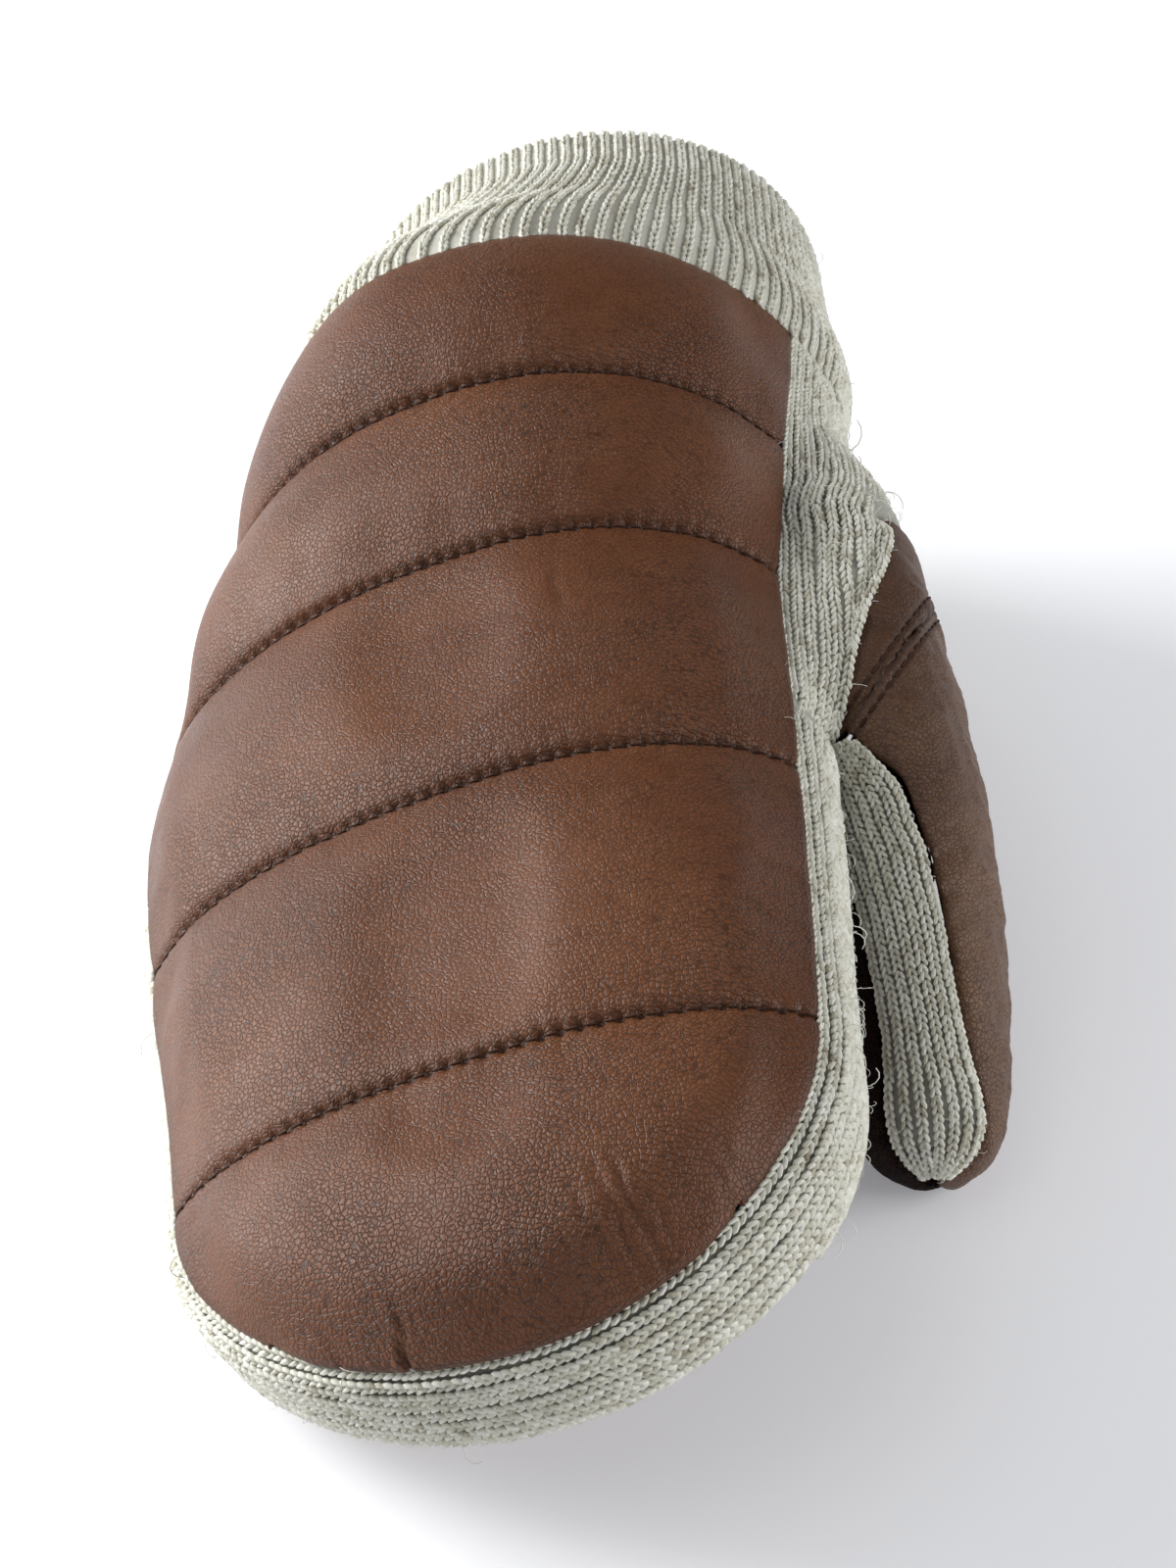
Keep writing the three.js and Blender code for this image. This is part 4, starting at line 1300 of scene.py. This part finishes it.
def makeThumb():
    strip = softCopy("thumb_knit_strip", "thumb_knit", *thumb["strip"])
    tree = treeOf(strip)
    addAttribute(strip.data, "tone", np.full(len(strip.data.vertices), 0.4))
    writePoints(strip.data, readPoints(strip.data) - normalsOf(strip.data) * 0.3 * mm)
    # the strip's base under the ribs carries painted deep shade
    strip.data.materials.append(woolInDeepShade)
    legs, places, frames = knitRibs("thumb_ribs", thumbRibs(tree), wool, 0.9)
    fuzz = strayFibres("thumb_fuzz", places, frames, thumb["fibres"], 0.8)
    strip = joined(strip, legs, fuzz)
    outer = softCopy("thumb_leather_outer", "thumb_leather", *thumb["outer"])
    wrinkled(outer, *thumb["outerFolds"], 2)
    outer.data.materials.append(thumbLeather)
    # the inner panel carries near-black painted shade for the gap between hand and thumb
    inner = softCopy("thumb_leather_inner", "thumb_inner", *thumb["inner"])
    wrinkled(inner, *thumb["innerFolds"], 4)
    inner.data.materials.append(innerLeatherPaintedShade)
    return strip, outer, inner


def drawnToSeam(piece, tree, line):
    # the rim is drawn up to the set-in seam, and the leather sinks along its row of stitches;
    # line is the row's distance from the seam in mm, less than 0 on the palm's side
    spot, way = seamPlane()
    bm = bmesh.new()
    bm.from_mesh(piece.data)
    near = [tree.find_nearest(v.co)[3] / mm for v in bm.verts]
    close = [e for e in bm.edges if max(near[e.verts[0].index], near[e.verts[1].index]) < 6]
    fresh = bmesh.ops.subdivide_edges(bm, edges=close, cuts=2, use_grid_fill=True)["geom_inner"]
    fresh = [v for v in fresh if isinstance(v, bmesh.types.BMVert)]
    for _ in range(3):
        bmesh.ops.smooth_vert(
            bm, verts=fresh, factor=0.5, use_axis_x=True, use_axis_y=True, use_axis_z=True)
    bm.to_mesh(piece.data)
    bm.free()
    points, normals = readPoints(piece.data), normalsOf(piece.data)
    gap = np.array([tree.find_nearest(Vector(p))[3] for p in points]) / mm
    drawn = thumb["seamDraw"] * (1 - ease(0.6, 3.2, gap))
    points -= way * np.sign(line) * drawn[:, None] * mm
    away = (points - spot) @ way / mm
    beside = 1 - ease(3.5, 6, gap)
    sunk = np.exp(-((away - line) / 0.5) ** 2) * beside
    points -= normals * (0.3 * sunk)[:, None] * mm
    writePoints(piece.data, points)
    # painted shade along the sunk row of stitches and in the seam itself
    valley = np.maximum(readAttribute(piece.data, "valley"), 0.75 * sunk)
    valley = np.maximum(valley, np.exp(-(away / 0.6) ** 2) * beside).astype(np.float32)
    piece.data.attributes["valley"].data.foreach_set("value", valley)


thumbStrip, thumbOuter, thumbInner = makeThumb()
wrinkled(palmPiece, *palm["folds"], 7)
palmPiece.data.materials.append(palmLeather)
palmTree, thumbTree = treeOf(palmPiece), treeOf(thumbOuter)
drawnToSeam(thumbOuter, palmTree, thumb["rows"][0])
drawnToSeam(palmPiece, thumbTree, thumb["rows"][1])
for piece, node in (
    (thumbStrip, "thumb_knit"), (thumbOuter, "thumb_leather"),
    (thumbInner, "thumb_inner"), (palmPiece, "palm_leather"),
):
    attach(piece, "root")
    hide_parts(node)
for name, piece, shift in (
    ("thumb_seam_thread", thumbOuter, thumb["rows"][0]),
    ("root_seam_thread", palmPiece, thumb["rows"][1]),
):
    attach(seamStitches(name, piece, shift, stitch), "root")
print("thumb and palm ready")

for piece in (stitch, knitLeg, woolFibre):
    bpy.data.objects.remove(piece)


studio = {
    "floor": "f9f9fb",
    "floorSize": 6,
    "world": (0.93, 0.95, 1.0, 1),
    "worldStrength": 0.2,
    "glow": 0.22,
    "aim": (0, 0, 0.03),
    "lights": (  # name, place, size, watts
        ("left", (-1.08, 0.34, 0.5), 0.85, 25),
        ("over", (-0.4, -0.25, 1.0), 0.7, 1.2),
        ("right", (1.1, -0.2, 0.4), 0.8, 9),
    ),
}


def makeStudio(look):
    bm = bmesh.new()
    bmesh.ops.create_grid(bm, x_segments=2, y_segments=2, size=look["floorSize"])
    floor = addObject("floor", meshFrom(bm, "floor"))
    material, tree = newMaterial("floor_pale")
    shade(tree, {"Base Color": paint(look["floor"]), "Roughness": 0.9,
                 "Emission Color": look["world"], "Emission Strength": look["glow"]})
    floor.data.materials.append(material)
    world = bpy.data.worlds.new("studio")
    world.use_nodes = True
    sky = world.node_tree.nodes["Background"]
    sky.inputs["Color"].default_value = look["world"]
    sky.inputs["Strength"].default_value = look["worldStrength"]
    bpy.context.scene.world = world
    bpy.context.scene.view_settings.view_transform = "Standard"
    for name, place, size, watts in look["lights"]:
        light = bpy.data.lights.new(name, "AREA")
        light.size = size
        light.energy = watts
        lamp = bpy.data.objects.new(name, light)
        lamp.location = place
        lamp.visible_camera = False
        way = Vector(look["aim"]) - Vector(place)
        lamp.rotation_euler = way.to_track_quat("-Z", "Y").to_euler()
        bpy.context.scene.collection.objects.link(lamp)


makeStudio(studio)
print("studio ready")
